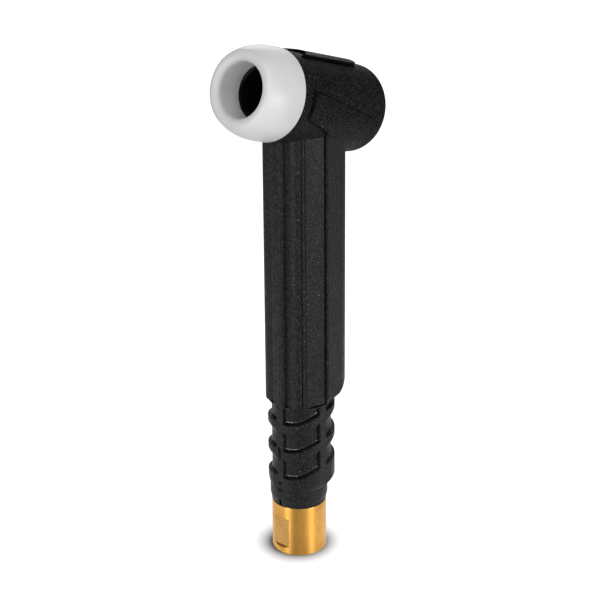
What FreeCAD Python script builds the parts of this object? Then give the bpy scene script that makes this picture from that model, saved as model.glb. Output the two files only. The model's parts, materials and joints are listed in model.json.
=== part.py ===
import FreeCAD, Part
import math
import os

import Sketcher

# TIG torch body, standing on its brass connector.
# The origin is the centre of the connector's bottom face, +Z runs up the handle,
# the nose of the head points to -Y and is tilted up, and millimetres are used throughout.
# Angles are in degrees.

SIZES = [
    # Brass connector at the bottom
    ("connector_radius", 8.0),
    ("connector_length", 16.0),
    ("connector_chamfer", 0.5),
    ("wrench_flats", 15.0),
    ("flats_bottom", 2.4),
    ("flats_top", 12.1),
    ("tail_thread_radius", 4.3),
    ("tail_thread_depth", 11.0),
    ("spigot_radius", 6.0),
    ("spigot_length", 8.0),
    ("seal_section", 0.5),
    ("seal_height", 2.4),
    ("seal_gap", 0.03),
    # Copper tube that carries gas and current, and its sleeve
    ("tube_radius", 3.2),
    ("tube_bore", 2.2),
    ("tube_socket", 6.0),
    ("sleeve_radius", 4.4),
    ("braze_length", 1.6),
    # Collar between the connector and the threaded tail
    ("collar_radius", 8.4),
    ("collar_length", 5.5),
    ("collar_foot", 1.0),
    ("collar_taper", 1.3),
    # Threaded tail
    ("tail_offset", 1.2),
    ("tail_length", 27.8),
    ("tail_core_radius", 8.6),
    ("crest_radius", 9.75),
    ("thread_pitch", 8.8),
    ("thread_turns", 4.0),
    ("thread_run_in", 2.4),
    ("crest_width", 2.4),
    ("flank_width", 2.2),
    ("tail_chamfer", 0.9),
    ("tail_cone", 2.0),
    ("cone_taper", 1.3),
    ("bar_reach", 9.35),
    ("bar_width", 2.5),
    ("side_bar_shift", 0.75),
    ("dowel_radius", 1.0),
    ("dowel_length", 8.0),
    ("dowel_spacing", 13.2),
    # Handle core
    ("nose_face", 7.6),
    ("nose_half_width", 4.45),
    ("front_corner", 3.1),
    ("side_face", 9.5),
    ("side_start", 1.35),
    ("back_face", 10.1),
    ("back_corner", 3.0),
    ("bead_radius", 0.55),
    ("bead_turn", 66.0),
    ("bead_sink", 0.15),
    ("bead_drop", 0.7),
    # Strip let into the nose side of the handle
    ("strip_half_width", 2.39),
    ("strip_proud", 1.06),
    ("strip_depth", 0.8),
    ("strip_edge", 0.25),
    # Side shells
    ("shell_thickness", 0.92),
    ("shell_lift", 1.8),
    ("heel_reach", 12.3),
    ("heel_round", 7.0),
    ("heel_rise", 5.4),
    ("shell_edge", 0.3),
    ("seam_gap", 0.3),
    ("cheek_thickness", 0.75),
    ("cheek_front", 7.3),
    ("cheek_lean", 0.4),
    ("cheek_top", 3.7),
    ("cheek_height", 7.3),
    ("cheek_notch", 6.9),
    ("notch_fall", 1.9),
    ("notch_turn", 1.5),
    ("cheek_rear", 19.0),
    ("cheek_fall", 4.6),
    # Head barrel
    ("head_height", 140.0),
    ("head_tilt", 20.5),
    ("barrel_radius", 12.4),
    ("barrel_front", 11.3),
    ("barrel_rear", 26.8),
    ("rear_flat", 2.45),
    ("cap_opening", 5.8),
    ("rear_wall", 2.8),
    ("pocket_depth", 4.4),
    # Plain plate on top of the barrel
    ("plate_half_width", 4.2),
    ("plate_thickness", 0.93),
    ("plate_front", 6.2),
    ("plate_rear", 17.8),
    ("plate_corner", 2.6),
    ("plate_hollow", 3.6),
    # Brass body inside the barrel
    ("body_radius", 8.4),
    ("body_front", 4.5),
    ("body_rear", 20.0),
    ("collet_thread_radius", 4.4),
    ("collet_thread_length", 13.0),
    ("collet_bore", 3.4),
    ("cap_thread_radius", 5.2),
    ("cap_thread_length", 9.0),
    ("gallery_half_width", 4.2),
    ("gallery_depth", 1.1),
    ("band_thickness", 0.5),
    ("gas_hole_radius", 0.7),
    # Insulating sleeves and seals in the barrel
    ("nose_bore", 6.85),
    ("nose_sleeve_radius", 9.0),
    ("nose_reach", 15.0),
    ("mouth_chamfer", 0.3),
    ("ring_seal_section", 0.5),
    ("ring_seal_place", 11.5),
    ("rear_seal_radius", 7.0),
    ("rear_seal_section", 0.5),
    # White insulator ring
    ("ring_radius", 13.0),
    ("ring_front", 24.0),
    ("ring_straight", 14.5),
    ("ring_back_edge", 0.2),
    ("ring_round", 18.7),
    ("rim_round", 1.75),
    ("ring_bore", 7.7),
    ("spigot_wall", 1.35),
    ("running_gap", 0.05),
    ("seat_gap", 0.1),
]


class Size:
    """A number together with the sheet expression that gives it."""

    def __init__(self, value, text=None):
        self.value = float(value)
        self.text = text if text is not None else repr(float(value))

    def join(self, other, sign, value):
        return Size(value, "(" + self.text + sign + other.text + ")")

    def __add__(self, other):
        other = as_size(other)
        return self.join(other, " + ", self.value + other.value)

    def __sub__(self, other):
        other = as_size(other)
        return self.join(other, " - ", self.value - other.value)

    def __mul__(self, other):
        other = as_size(other)
        return self.join(other, " * ", self.value * other.value)

    def __truediv__(self, other):
        other = as_size(other)
        return self.join(other, " / ", self.value / other.value)

    def __radd__(self, other):
        return as_size(other) + self

    def __rsub__(self, other):
        return as_size(other) - self

    def __rmul__(self, other):
        return as_size(other) * self

    def __neg__(self):
        return Size(-self.value, "(0 - " + self.text + ")")


def as_size(number):
    return number if isinstance(number, Size) else Size(number)


def sine(angle):
    return Size(math.sin(math.radians(angle.value)), "sin(" + angle.text + ")")


def cosine(angle):
    return Size(math.cos(math.radians(angle.value)), "cos(" + angle.text + ")")


def root(number):
    return Size(math.sqrt(number.value), "sqrt(" + number.text + ")")


def leg(long_side, side):
    """The other leg of a right triangle, from its longest side and one leg."""
    return root(long_side * long_side - side * side)


class Sheet:
    """The sizes of the torch, kept in a spreadsheet of the document."""

    def __init__(self, doc, sizes):
        self.known = {}
        table = doc.addObject("Spreadsheet::Sheet", "Sizes")
        for row, (name, value) in enumerate(sizes, start=1):
            table.set("A%d" % row, name)
            table.set("B%d" % row, str(value))
            table.setAlias("B%d" % row, name)
            self.known[name] = Size(value, "Sizes." + name)
        doc.recompute()

    def __getattr__(self, name):
        return self.known[name]


doc = FreeCAD.newDocument("TigTorch")
s = Sheet(doc, SIZES)
NODES = []


def bind(thing, prop, size):
    """Sets one property of an object and ties it to the sheet."""
    thing.setExpression(prop, as_size(size).text)


def node(thing, label):
    """Marks a finished object as one named piece of the torch."""
    thing.Label = label
    NODES.append(thing)
    return thing


# Sketches and features

def origin_plane(body, role):
    for feature in body.Origin.OriginFeatures:
        if feature.Role == role:
            return feature
    raise ValueError(role)


def new_sketch(body, role, name, lift=0):
    """A sketch on one of the body's own origin planes, lifted along the plane's normal."""
    sketch = body.newObject("Sketcher::SketchObject", name)
    sketch.AttachmentSupport = [(origin_plane(body, role), "")]
    sketch.MapMode = "FlatFace"
    bind(sketch, "AttachmentOffset.Base.z", lift)
    return sketch


def fix(sketch, kind, geometry, point, size):
    """Holds one coordinate of a point of the sketch at a size."""
    size = as_size(size)
    index = sketch.addConstraint(Sketcher.Constraint(kind, -1, 1, geometry, point, size.value))
    sketch.setExpression("Constraints[%d]" % index, size.text)


def fix_radius(sketch, geometry, size):
    size = as_size(size)
    index = sketch.addConstraint(Sketcher.Constraint("Radius", geometry, size.value))
    sketch.setExpression("Constraints[%d]" % index, size.text)


def arc_between(start, end, radius, turn):
    """The arc shorter than a half circle from start to end, turning left (1) or right (-1)."""
    chord = end - start
    middle = (start + end) * 0.5
    height = math.sqrt(max(radius * radius - chord.Length ** 2 / 4.0, 0.0))
    side = FreeCAD.Vector(-chord.y, chord.x, 0).normalize() * (height * turn)
    centre = middle + side
    outward = (middle - centre).normalize() if height > 1e-9 else -side
    top = centre + outward * radius
    return Part.Arc(start, top, end)


def outline(sketch, corners, arcs=None, first=0):
    """A closed outline through the corners; arcs gives a radius and a turn for some of its edges."""
    arcs = arcs or {}
    count = len(corners)
    points = [FreeCAD.Vector(as_size(x).value, as_size(y).value, 0) for x, y in corners]
    turned = {}
    for edge in range(count):
        start = points[edge]
        end = points[(edge + 1) % count]
        if edge not in arcs:
            sketch.addGeometry(Part.LineSegment(start, end), False)
            turned[edge] = (1, 2)
            continue
        radius, turn = arcs[edge]
        sketch.addGeometry(arc_between(start, end, as_size(radius).value, turn), False)
        turned[edge] = (1, 2) if turn > 0 else (2, 1)
    for edge in range(count):
        after = (edge + 1) % count
        here = turned[edge][1]
        there = turned[after][0]
        sketch.addConstraint(Sketcher.Constraint("Coincident", first + edge, here, first + after, there))
    for edge, (x, y) in enumerate(corners):
        fix(sketch, "DistanceX", first + edge, turned[edge][0], x)
        fix(sketch, "DistanceY", first + edge, turned[edge][0], y)
    for edge, (radius, turn) in arcs.items():
        fix_radius(sketch, first + edge, radius)
    return first + count


def circle(sketch, x, y, radius, first=0):
    """A circle with its centre at x, y."""
    centre = FreeCAD.Vector(as_size(x).value, as_size(y).value, 0)
    sketch.addGeometry(Part.Circle(centre, FreeCAD.Vector(0, 0, 1), as_size(radius).value), False)
    fix(sketch, "DistanceX", first, 3, x)
    fix(sketch, "DistanceY", first, 3, y)
    fix_radius(sketch, first, radius)
    return first + 1


def rectangle(sketch, left, right, low, high, first=0):
    return outline(sketch, [(left, low), (right, low), (right, high), (left, high)], first=first)


def new_body(name):
    return doc.addObject("PartDesign::Body", name)


def pad(body, sketch, length, name):
    feature = body.newObject("PartDesign::Pad", name)
    feature.Profile = sketch
    bind(feature, "Length", length)
    return feature


def pocket(body, sketch, length, name):
    """Cuts the sketch's outline out of the body, along the sketch's normal."""
    feature = body.newObject("PartDesign::Pocket", name)
    feature.Profile = sketch
    feature.Reversed = True
    bind(feature, "Length", length)
    return feature


def revolved(name, corners, arcs=None):
    """A body turned about its Z axis from corners given as radius and height."""
    body = new_body(name)
    sketch = new_sketch(body, "XZ_Plane", name + "_outline")
    outline(sketch, corners, arcs)
    turn = body.newObject("PartDesign::Revolution", name + "_turned")
    turn.Profile = sketch
    turn.ReferenceAxis = (sketch, ["V_Axis"])
    turn.Angle = 360
    return body


def extruded(name, corners, low, high, arcs=None):
    """A body with the given outline, from one height to another."""
    body = new_body(name)
    sketch = new_sketch(body, "XY_Plane", name + "_outline", low)
    outline(sketch, corners, arcs)
    pad(body, sketch, as_size(high) - low, name + "_pad")
    return body


def cylinder(name, radius, low, high):
    solid = doc.addObject("Part::Cylinder", name)
    bind(solid, "Radius", radius)
    bind(solid, "Height", as_size(high) - low)
    bind(solid, "Placement.Base.z", low)
    return solid


def cut(name, base, tool):
    result = doc.addObject("Part::Cut", name)
    result.Base = base
    result.Tool = tool
    return result


def fuse(name, pieces):
    result = doc.addObject("Part::MultiFuse", name)
    result.Shapes = pieces
    return result


def common(name, one, other):
    result = doc.addObject("Part::Common", name)
    result.Base = one
    result.Tool = other
    return result


# Places along the head, whose axis runs through the handle's axis at head_height

def on_head(thing, station=0):
    """Turns a piece made along +Z to lie along the head's axis, with its zero at the station."""
    station = as_size(station)
    thing.Placement = FreeCAD.Placement(FreeCAD.Vector(0, 0, 0), FreeCAD.Rotation(FreeCAD.Vector(1, 0, 0), 60))
    bind(thing, "Placement.Rotation.Angle", 90 - s.head_tilt)
    bind(thing, "Placement.Base.y", -(station * cosine(s.head_tilt)))
    bind(thing, "Placement.Base.z", s.head_height + station * sine(s.head_tilt))
    return thing


def head_cylinder(name, radius, rear, front):
    """A plain cylinder on the head's axis, between two stations."""
    solid = doc.addObject("Part::Cylinder", name)
    bind(solid, "Radius", radius)
    bind(solid, "Height", as_size(front) - rear)
    return on_head(solid, rear)


def head_ring(name, inner, outer, rear, front):
    corners = [(inner, rear), (outer, rear), (outer, front), (inner, front)]
    return on_head(revolved(name, corners))


def touching_point(centre, radius, point, side):
    """Where a line from the point touches the circle, on the circle's left (1) or right (-1) side."""
    along = as_size(point[0]) - centre[0]
    across = as_size(point[1]) - centre[1]
    square = along * along + across * across
    near = radius * radius / square
    off = radius * root(square - radius * radius) / square
    return (
        centre[0] + near * along - side * off * across,
        centre[1] + near * across + side * off * along,
    )


# Heights and places that several pieces share

spigot_top = s.connector_length + s.spigot_length
tail_bottom = s.connector_length + s.collar_length
handle_bottom = tail_bottom + s.tail_length
gallery_place = -(s.body_radius * sine(s.head_tilt) / cosine(s.head_tilt))
gallery_rear = gallery_place - s.gallery_half_width
gallery_front = gallery_place + s.gallery_half_width
band_inner = s.body_radius - s.band_thickness
body_low = s.head_height - (s.body_radius + s.sleeve_radius * sine(s.head_tilt)) / cosine(s.head_tilt)
braze_low = body_low - s.braze_length
head_join = s.head_height - s.barrel_radius * 0.2
far = s.barrel_rear + s.barrel_front + s.ring_front


# Brass connector, its seal and the collar above it

def tail_connector():
    seal_low = s.connector_length + s.seal_height
    seal_high = seal_low + groove_size(s.seal_section)
    groove = s.spigot_radius - groove_size(s.seal_section)
    socket_floor = spigot_top - s.tube_socket
    corners = [
        (s.tail_thread_radius, 0),
        (s.connector_radius - s.connector_chamfer, 0),
        (s.connector_radius, s.connector_chamfer),
        (s.connector_radius, s.connector_length),
        (s.spigot_radius, s.connector_length),
        (s.spigot_radius, seal_low),
        (groove, seal_low),
        (groove, seal_high),
        (s.spigot_radius, seal_high),
        (s.spigot_radius, spigot_top),
        (s.tube_radius, spigot_top),
        (s.tube_radius, socket_floor),
        (s.tube_bore, socket_floor),
        (s.tube_bore, s.tail_thread_depth),
        (s.tail_thread_radius, s.tail_thread_depth),
    ]
    body = revolved("connector", corners)
    sketch = new_sketch(body, "XY_Plane", "connector_flats", s.flats_bottom)
    half = s.wrench_flats / 2
    reach = s.connector_radius * 2
    following = rectangle(sketch, -reach, reach, half, reach)
    rectangle(sketch, -reach, reach, -reach, -half, first=following)
    pocket(body, sketch, s.flats_top - s.flats_bottom, "connector_flats_cut")
    return node(body, "tail_connector")


def connector_seal():
    ring = doc.addObject("Part::Torus", "connector_seal_ring")
    middle = groove_size(s.seal_section) / 2
    bind(ring, "Radius1", s.spigot_radius - middle)
    bind(ring, "Radius2", s.seal_section)
    bind(ring, "Placement.Base.z", s.connector_length + s.seal_height + middle)
    return node(ring, "connector_seal")


def tail_collar():
    """A collar that starts flush with the connector and widens a little above it."""
    foot_top = s.connector_length + s.collar_foot
    corners = [
        (s.spigot_radius, s.connector_length),
        (s.connector_radius, s.connector_length),
        (s.connector_radius, foot_top),
        (s.collar_radius, foot_top + s.collar_taper),
        (s.collar_radius, tail_bottom),
        (s.spigot_radius, tail_bottom),
    ]
    return node(revolved("collar", corners), "tail_collar")


# Threaded tail: a round core, a rising rib with a flat upper ledge, and four bars along it

def tail_sleeve():
    body = new_body("tail")
    bind(body, "Placement.Base.y", s.tail_offset)
    disc = new_sketch(body, "XY_Plane", "tail_disc", tail_bottom)
    circle(disc, 0, 0, s.tail_core_radius)
    pad(body, disc, s.tail_length, "tail_core")
    bars = new_sketch(body, "XY_Plane", "bars_outline", tail_bottom)
    half = s.bar_width / 2
    reach = s.bar_reach
    front = -half - s.side_bar_shift
    back = half - s.side_bar_shift
    cross = [
        (half, back), (half, reach), (-half, reach), (-half, back), (-reach, back), (-reach, front),
        (-half, front), (-half, -reach), (half, -reach), (half, front), (reach, front), (reach, back),
    ]
    outline(bars, cross)
    pad(body, bars, s.tail_length, "bars")
    ledge = tail_bottom - s.thread_run_in
    inside = s.tail_core_radius - s.crest_width / 2
    profile = new_sketch(body, "XZ_Plane", "thread_outline")
    rib = [
        (inside, ledge),
        (s.crest_radius, ledge),
        (s.crest_radius, ledge - s.crest_width),
        (inside, ledge - s.crest_width - s.flank_width),
    ]
    outline(profile, rib)
    thread = body.newObject("PartDesign::AdditiveHelix", "thread")
    thread.Profile = profile
    thread.ReferenceAxis = (profile, ["V_Axis"])
    thread.Mode = "pitch-turns-angle"
    bind(thread, "Pitch", s.thread_pitch)
    bind(thread, "Turns", s.thread_turns)
    trim = new_sketch(body, "XY_Plane", "trim_outline", tail_bottom - s.thread_pitch)
    following = circle(trim, 0, 0, s.crest_radius * 2)
    rectangle(trim, -reach, reach, -reach, reach, first=following)
    pocket(body, trim, s.tail_length + 2 * s.thread_pitch, "flats_cut")
    return body


def tail_end_cutter():
    """Bevels the lower end of the tail's core and ribs."""
    reach = s.crest_radius * 2
    start = s.tail_core_radius - s.tail_chamfer
    corners = [(start, tail_bottom), (reach, tail_bottom), (reach, tail_bottom + reach - start)]
    body = revolved("tail_end", corners)
    bind(body, "Placement.Base.y", s.tail_offset)
    return body


def tail_cone():
    """A cone that leads from the collar up to the front of the tail's core."""
    cone = doc.addObject("Part::Cone", "tail_cone")
    bind(cone, "Radius1", s.collar_radius)
    bind(cone, "Radius2", s.collar_radius - s.cone_taper)
    bind(cone, "Height", s.tail_cone)
    bind(cone, "Placement.Base.z", tail_bottom)
    return cone


def finished_tail(beads):
    """The tail trimmed at both ends, clear of the handle's beads and hollowed for spigot and tube."""
    body = cut("tail_bevelled", tail_sleeve(), tail_end_cutter())
    below = cylinder("below_tail", s.crest_radius * 2, tail_bottom - 2 * s.thread_pitch, tail_bottom)
    above = cylinder("above_tail", s.crest_radius * 2, handle_bottom, handle_bottom + 2 * s.thread_pitch)
    spigot = cylinder("spigot_space", s.spigot_radius, s.connector_length, spigot_top)
    bore = cylinder("tail_bore", s.sleeve_radius, s.connector_length, handle_bottom + s.thread_pitch)
    waste = fuse("tail_waste", [below, above, spigot, bore, dowels("dowel_spaces_low")] + beads)
    return node(cut("tail_cut", fuse("tail_joined", [body, tail_cone()]), waste), "tail_sleeve")


def dowels(name):
    """Two short dowels that key the tail to the handle."""
    pins = []
    for side, word in ((-1, "left"), (1, "right")):
        pin = cylinder(name + "_" + word, s.dowel_radius, handle_bottom - s.dowel_length / 2,
                       handle_bottom + s.dowel_length / 2)
        bind(pin, "Placement.Base.x", side * s.dowel_spacing / 2)
        bind(pin, "Placement.Base.y", s.tail_offset)
        pins.append(pin)
    group = doc.addObject("Part::Compound", name)
    group.Links = pins
    return group


# Copper tube, its insulating sleeve and the brazed joints at its ends

def braze_tail():
    corners = [
        (s.tube_radius, spigot_top),
        (s.sleeve_radius, spigot_top),
        (s.sleeve_radius - s.braze_length / 4, spigot_top + s.braze_length / 2),
        (s.tube_radius, spigot_top + s.braze_length),
    ]
    return node(revolved("braze_low", corners), "braze_tail")


def power_tube():
    low = spigot_top - s.tube_socket
    outer = cylinder("tube_outer", s.tube_radius, low, s.head_height)
    inner = cylinder("tube_inner", s.tube_bore, low - s.tube_socket, s.head_height + s.tube_radius)
    space = head_cylinder("band_space", band_inner, -far, far)
    return node(cut("tube_topped", cut("tube_bored", outer, inner), space), "power_tube")


def tube_outside(name):
    """The tube's outside as a solid rod, used to pierce what it goes through."""
    return cylinder(name, s.tube_radius, handle_bottom, s.head_height)


def braze_head():
    disc = cylinder("braze_disc", s.sleeve_radius, braze_low, s.head_height)
    waste = fuse("braze_waste", [head_cylinder("braze_space", s.body_radius, -far, far), tube_outside("braze_tube")])
    return node(cut("braze_cut", disc, waste), "braze_head")


def tube_sleeve():
    low = spigot_top + s.braze_length
    high = braze_low
    corners = [(s.tube_radius, low), (s.sleeve_radius, low), (s.sleeve_radius, high), (s.tube_radius, high)]
    return node(revolved("sleeve", corners), "tube_sleeve")


# Handle core, with a bead down each front corner

def front_touch(side):
    """Where a side slope of the handle meets its front corner's round."""
    centre = (side * s.nose_half_width, s.front_corner - s.nose_face)
    return touching_point(centre, s.front_corner, (side * s.side_face, s.side_start), -side)


def handle_core(beads):
    nose = -s.nose_face
    back = s.back_face
    turn_back = back - s.back_corner
    flat_back = s.side_face - s.back_corner
    corners = [
        (-s.nose_half_width, nose),
        (s.nose_half_width, nose),
        front_touch(1),
        (s.side_face, s.side_start),
        (s.side_face, turn_back),
        (flat_back, back),
        (-flat_back, back),
        (-s.side_face, turn_back),
        (-s.side_face, s.side_start),
        front_touch(-1),
    ]
    arcs = {
        1: (s.front_corner, 1),
        4: (s.back_corner, 1),
        6: (s.back_corner, 1),
        9: (s.front_corner, 1),
    }
    block = extruded("handle", corners, handle_bottom, head_join, arcs)
    solid = fuse("handle_with_beads", [block] + beads)
    slot = strip_block("strip_slot", s.strip_proud * 2)
    bore = cylinder("handle_bore", s.sleeve_radius, handle_bottom - s.thread_pitch, s.head_height)
    barrel = head_cylinder("barrel_space", s.barrel_radius, -far, far)
    waste = fuse("handle_waste", [slot, bore, barrel, dowels("dowel_spaces_high"), heel_cutter("core_heel")])
    return node(cut("handle_cut", solid, waste), "handle_core")


def corner_bead(side):
    """A round bead that stands a little out of a front corner and ends in a rounded tip."""
    reach = s.front_corner - s.bead_sink
    x = side * (s.nose_half_width + reach * sine(s.bead_turn))
    y = s.front_corner - s.nose_face - reach * cosine(s.bead_turn)
    word = "left" if side < 0 else "right"
    rod = cylinder("bead_" + word, s.bead_radius, handle_bottom - s.bead_drop + s.bead_radius, head_join)
    tip = doc.addObject("Part::Sphere", "bead_tip_" + word)
    bind(tip, "Radius", s.bead_radius)
    bind(tip, "Placement.Base.z", handle_bottom - s.bead_drop + s.bead_radius)
    for piece in (rod, tip):
        bind(piece, "Placement.Base.x", x)
        bind(piece, "Placement.Base.y", y)
    return fuse("corner_bead_" + word, [rod, tip])


# Strip on the nose side

def strip_block(name, proud):
    """The strip's block, standing out of the nose face by the given amount."""
    inner = s.strip_depth - s.nose_face
    outer = -(s.nose_face + proud)
    corners = [
        (-s.strip_half_width, inner),
        (s.strip_half_width, inner),
        (s.strip_half_width, outer),
        (-s.strip_half_width, outer),
    ]
    return extruded(name, corners[::-1], handle_bottom, head_join)


def nose_strip():
    inner = s.strip_depth - s.nose_face
    outer = -(s.nose_face + s.strip_proud)
    half = s.strip_half_width
    corners = [
        (-half, inner),
        (-half, outer + s.strip_edge),
        (-half + s.strip_edge, outer),
        (half - s.strip_edge, outer),
        (half, outer + s.strip_edge),
        (half, inner),
    ]
    block = extruded("strip", corners, handle_bottom, head_join)
    barrel = head_cylinder("strip_space", s.barrel_radius, -far, far)
    return node(cut("strip_cut", block, barrel), "nose_strip")


# Side shells: each hugs one side of the handle and one cheek of the barrel

def shell_section():
    """The part of the left shell that lies on the handle."""
    inner = s.side_face
    outer = s.side_face + s.shell_thickness
    back = s.back_face + s.shell_thickness
    seam = s.seam_gap / 2
    turn_back = s.back_face - s.back_corner
    flat_back = s.side_face - s.back_corner
    corners = [
        (inner, s.side_start),
        (outer - s.shell_edge, s.side_start),
        (outer, s.side_start + s.shell_edge),
        (outer, turn_back),
        (flat_back, back),
        (seam, back),
        (seam, s.back_face),
        (flat_back, s.back_face),
        (inner, turn_back),
    ]
    arcs = {3: (s.back_corner + s.shell_thickness, 1), 7: (s.back_corner, -1)}
    return extruded("shell", corners, handle_bottom + s.shell_lift, head_join, arcs)


def heel_cutter(name):
    """Rounds the handle's two lower back corners, as one turned cut about the handle's middle."""
    middle = s.heel_reach - s.heel_round
    start = middle + leg(s.heel_round, s.heel_rise)
    outside = s.heel_reach * 2
    corners = [
        (start, handle_bottom),
        (outside, handle_bottom),
        (outside, handle_bottom + s.heel_rise),
        (s.heel_reach, handle_bottom + s.heel_rise),
    ]
    body = revolved(name, corners, {3: (s.heel_round, -1)})
    doc.getObject(name + "_turned").Angle = 180
    bind(body, "Placement.Base.y", (s.back_face + s.shell_thickness - s.nose_face) / 2)
    return body


def step_station(up):
    """Where the shell's front edge on the handle lies along the head's axis, at a height above that axis."""
    return (up * sine(s.head_tilt) - s.side_start) / cosine(s.head_tilt)


def cheek_outline():
    """The cheek's border seen from the side, as points across and up in the head's own frame."""
    low = s.cheek_top - s.cheek_height
    notch_low = low - s.notch_fall
    under = -(s.barrel_radius + 2 * s.cheek_thickness)
    return [
        (s.cheek_top, s.cheek_front - s.cheek_lean),
        (s.cheek_top - s.cheek_fall, -s.cheek_rear),
        (under, -s.cheek_rear),
        (under, step_station(under)),
        (notch_low - s.notch_turn, step_station(notch_low - s.notch_turn)),
        (notch_low, s.cheek_front - s.cheek_notch),
        (low, s.cheek_front),
    ]


def cheek_block():
    """A block on one side of the barrel with the cheek's border."""
    body = new_body("cheek_block")
    sketch = new_sketch(body, "YZ_Plane", "cheek_outline", s.seam_gap / 2)
    outline(sketch, cheek_outline())
    pad(body, sketch, s.barrel_radius * 2, "cheek_pad")
    return on_head(body)


def side_shells():
    upper = common(
        "cheek_shape",
        cheek_block(),
        head_cylinder("cheek_round", s.barrel_radius + s.cheek_thickness, -far, far),
    )
    lower = cut("shell_heeled", shell_section(), heel_cutter("shell_heel"))
    solid = fuse("shell_solid", [lower, upper])
    waste = fuse(
        "shell_waste",
        [head_cylinder("shell_space", s.barrel_radius, -far, far), core_shadow()],
    )
    left = node(cut("shell_cut", solid, waste), "side_shell_left")
    right = doc.addObject("Part::Mirroring", "shell_mirrored")
    right.Source = left
    right.Base = FreeCAD.Vector(0, 0, 0)
    right.Normal = FreeCAD.Vector(1, 0, 0)
    return node(right, "side_shell_right")


def core_shadow():
    """The handle's section, used to keep the cheek out of the handle."""
    nose = -s.nose_face - s.strip_proud
    corners = [
        (-s.side_face, nose),
        (s.side_face, nose),
        (s.side_face, s.back_face - s.back_corner),
        (s.side_face - s.back_corner, s.back_face),
        (-(s.side_face - s.back_corner), s.back_face),
        (-s.side_face, s.back_face - s.back_corner),
    ]
    arcs = {2: (s.back_corner, 1), 4: (s.back_corner, 1)}
    return extruded("core_shadow", corners, handle_bottom, head_join, arcs)


# Barrel of the head, with the openings for what it holds

def head_jacket():
    rear = -s.barrel_rear
    flat_rear = s.cap_opening + s.rear_flat
    rear_round = s.barrel_radius - flat_rear
    pocket_floor = s.barrel_front - s.pocket_depth
    pocket_wall = s.nose_sleeve_radius + s.spigot_wall + 2 * s.running_gap
    corners = [
        (s.cap_opening, rear),
        (flat_rear, rear),
        (s.barrel_radius, rear + rear_round),
        (s.barrel_radius, s.barrel_front),
        (pocket_wall, s.barrel_front),
        (pocket_wall, pocket_floor),
        (s.nose_sleeve_radius, pocket_floor),
        (s.nose_sleeve_radius, s.body_front),
        (s.body_radius, s.body_front),
        (s.body_radius, rear + s.rear_wall),
        (s.cap_opening, rear + s.rear_wall),
    ]
    barrel = on_head(revolved("barrel", corners, {1: (rear_round, 1)}))
    hole = cylinder("jacket_hole", s.sleeve_radius, s.head_height - 2 * s.barrel_radius, s.head_height)
    return node(cut("jacket_cut", barrel, hole), "head_jacket")


def top_plate():
    """A plain raised plate, hollowed in front and rounded behind, that follows the barrel."""
    body = new_body("plate")
    sketch = new_sketch(body, "XZ_Plane", "plate_outline", -2 * s.barrel_radius)
    half = s.plate_half_width
    front = s.plate_front
    rear = -s.plate_rear
    radius = s.plate_corner
    hollow = (half * half + s.plate_hollow * s.plate_hollow) / (2 * s.plate_hollow)
    corners = [
        (-half, front),
        (-half, rear + radius),
        (radius - half, rear),
        (half - radius, rear),
        (half, rear + radius),
        (half, front),
    ]
    outline(sketch, corners, {1: (radius, 1), 3: (radius, 1), 5: (hollow, -1)})
    pad(body, sketch, 2 * s.barrel_radius, "plate_pad")
    on_head(body)
    shell = head_ring("plate_shell", s.barrel_radius, s.barrel_radius + s.plate_thickness, rear, front)
    return node(common("plate_shape", body, shell), "top_plate")


# Brass body in the barrel: collet thread in front, back cap thread behind, gas gallery between

def head_body():
    collet_end = s.body_front - s.collet_thread_length
    cap_end = s.cap_thread_length - s.body_rear
    floor = s.body_radius - s.gallery_depth
    corners = [
        (s.cap_thread_radius, -s.body_rear),
        (s.body_radius, -s.body_rear),
        (s.body_radius, gallery_rear),
        (floor, gallery_rear),
        (floor, gallery_front),
        (s.body_radius, gallery_front),
        (s.body_radius, s.body_front),
        (s.collet_thread_radius, s.body_front),
        (s.collet_thread_radius, collet_end),
        (s.collet_bore, collet_end),
        (s.collet_bore, cap_end),
        (s.cap_thread_radius, cap_end),
    ]
    turned = on_head(revolved("brass_body", corners))
    holes = []
    for word, axis in (("across", (0, 1, 0)), ("upright", (1, 0, 0))):
        hole = doc.addObject("Part::Cylinder", "gas_hole_" + word)
        bind(hole, "Radius", s.gas_hole_radius)
        bind(hole, "Height", 2 * s.body_radius)
        hole.Placement = FreeCAD.Placement(FreeCAD.Vector(0, 0, 0), FreeCAD.Rotation(FreeCAD.Vector(*axis), 90))
        if word == "across":
            bind(hole, "Placement.Base.x", -s.body_radius)
        else:
            bind(hole, "Placement.Base.y", s.body_radius)
        bind(hole, "Placement.Base.z", gallery_place)
        holes.append(hole)
    drilled = doc.addObject("Part::Compound", "gas_holes")
    drilled.Links = holes
    on_head(drilled)
    return node(cut("brass_body_drilled", turned, drilled), "head_body")


def gallery_band():
    ring = head_ring("band_ring", band_inner, s.body_radius, gallery_rear, gallery_front)
    return node(cut("band_cut", ring, tube_outside("band_tube")), "gallery_band")


# Insulating sleeves and seals at both ends of the brass body

def nose_sleeve():
    outer = s.nose_sleeve_radius
    groove = outer - groove_size(s.ring_seal_section)
    low = s.ring_seal_place - groove_size(s.ring_seal_section) / 2
    high = s.ring_seal_place + groove_size(s.ring_seal_section) / 2
    corners = [
        (s.nose_bore, s.body_front),
        (outer, s.body_front),
        (outer, low),
        (groove, low),
        (groove, high),
        (outer, high),
        (outer, s.nose_reach),
        (s.nose_bore + s.mouth_chamfer, s.nose_reach),
        (s.nose_bore, s.nose_reach - s.mouth_chamfer),
    ]
    return node(on_head(revolved("nose_tube", corners)), "nose_sleeve")


def groove_size(section):
    """The width and depth of the groove for a seal ring of the given section radius."""
    return 2 * (section + s.seal_gap)


def head_seal(name, radius, section, station):
    ring = doc.addObject("Part::Torus", name)
    bind(ring, "Radius1", radius)
    bind(ring, "Radius2", section)
    return on_head(ring, station)


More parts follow.
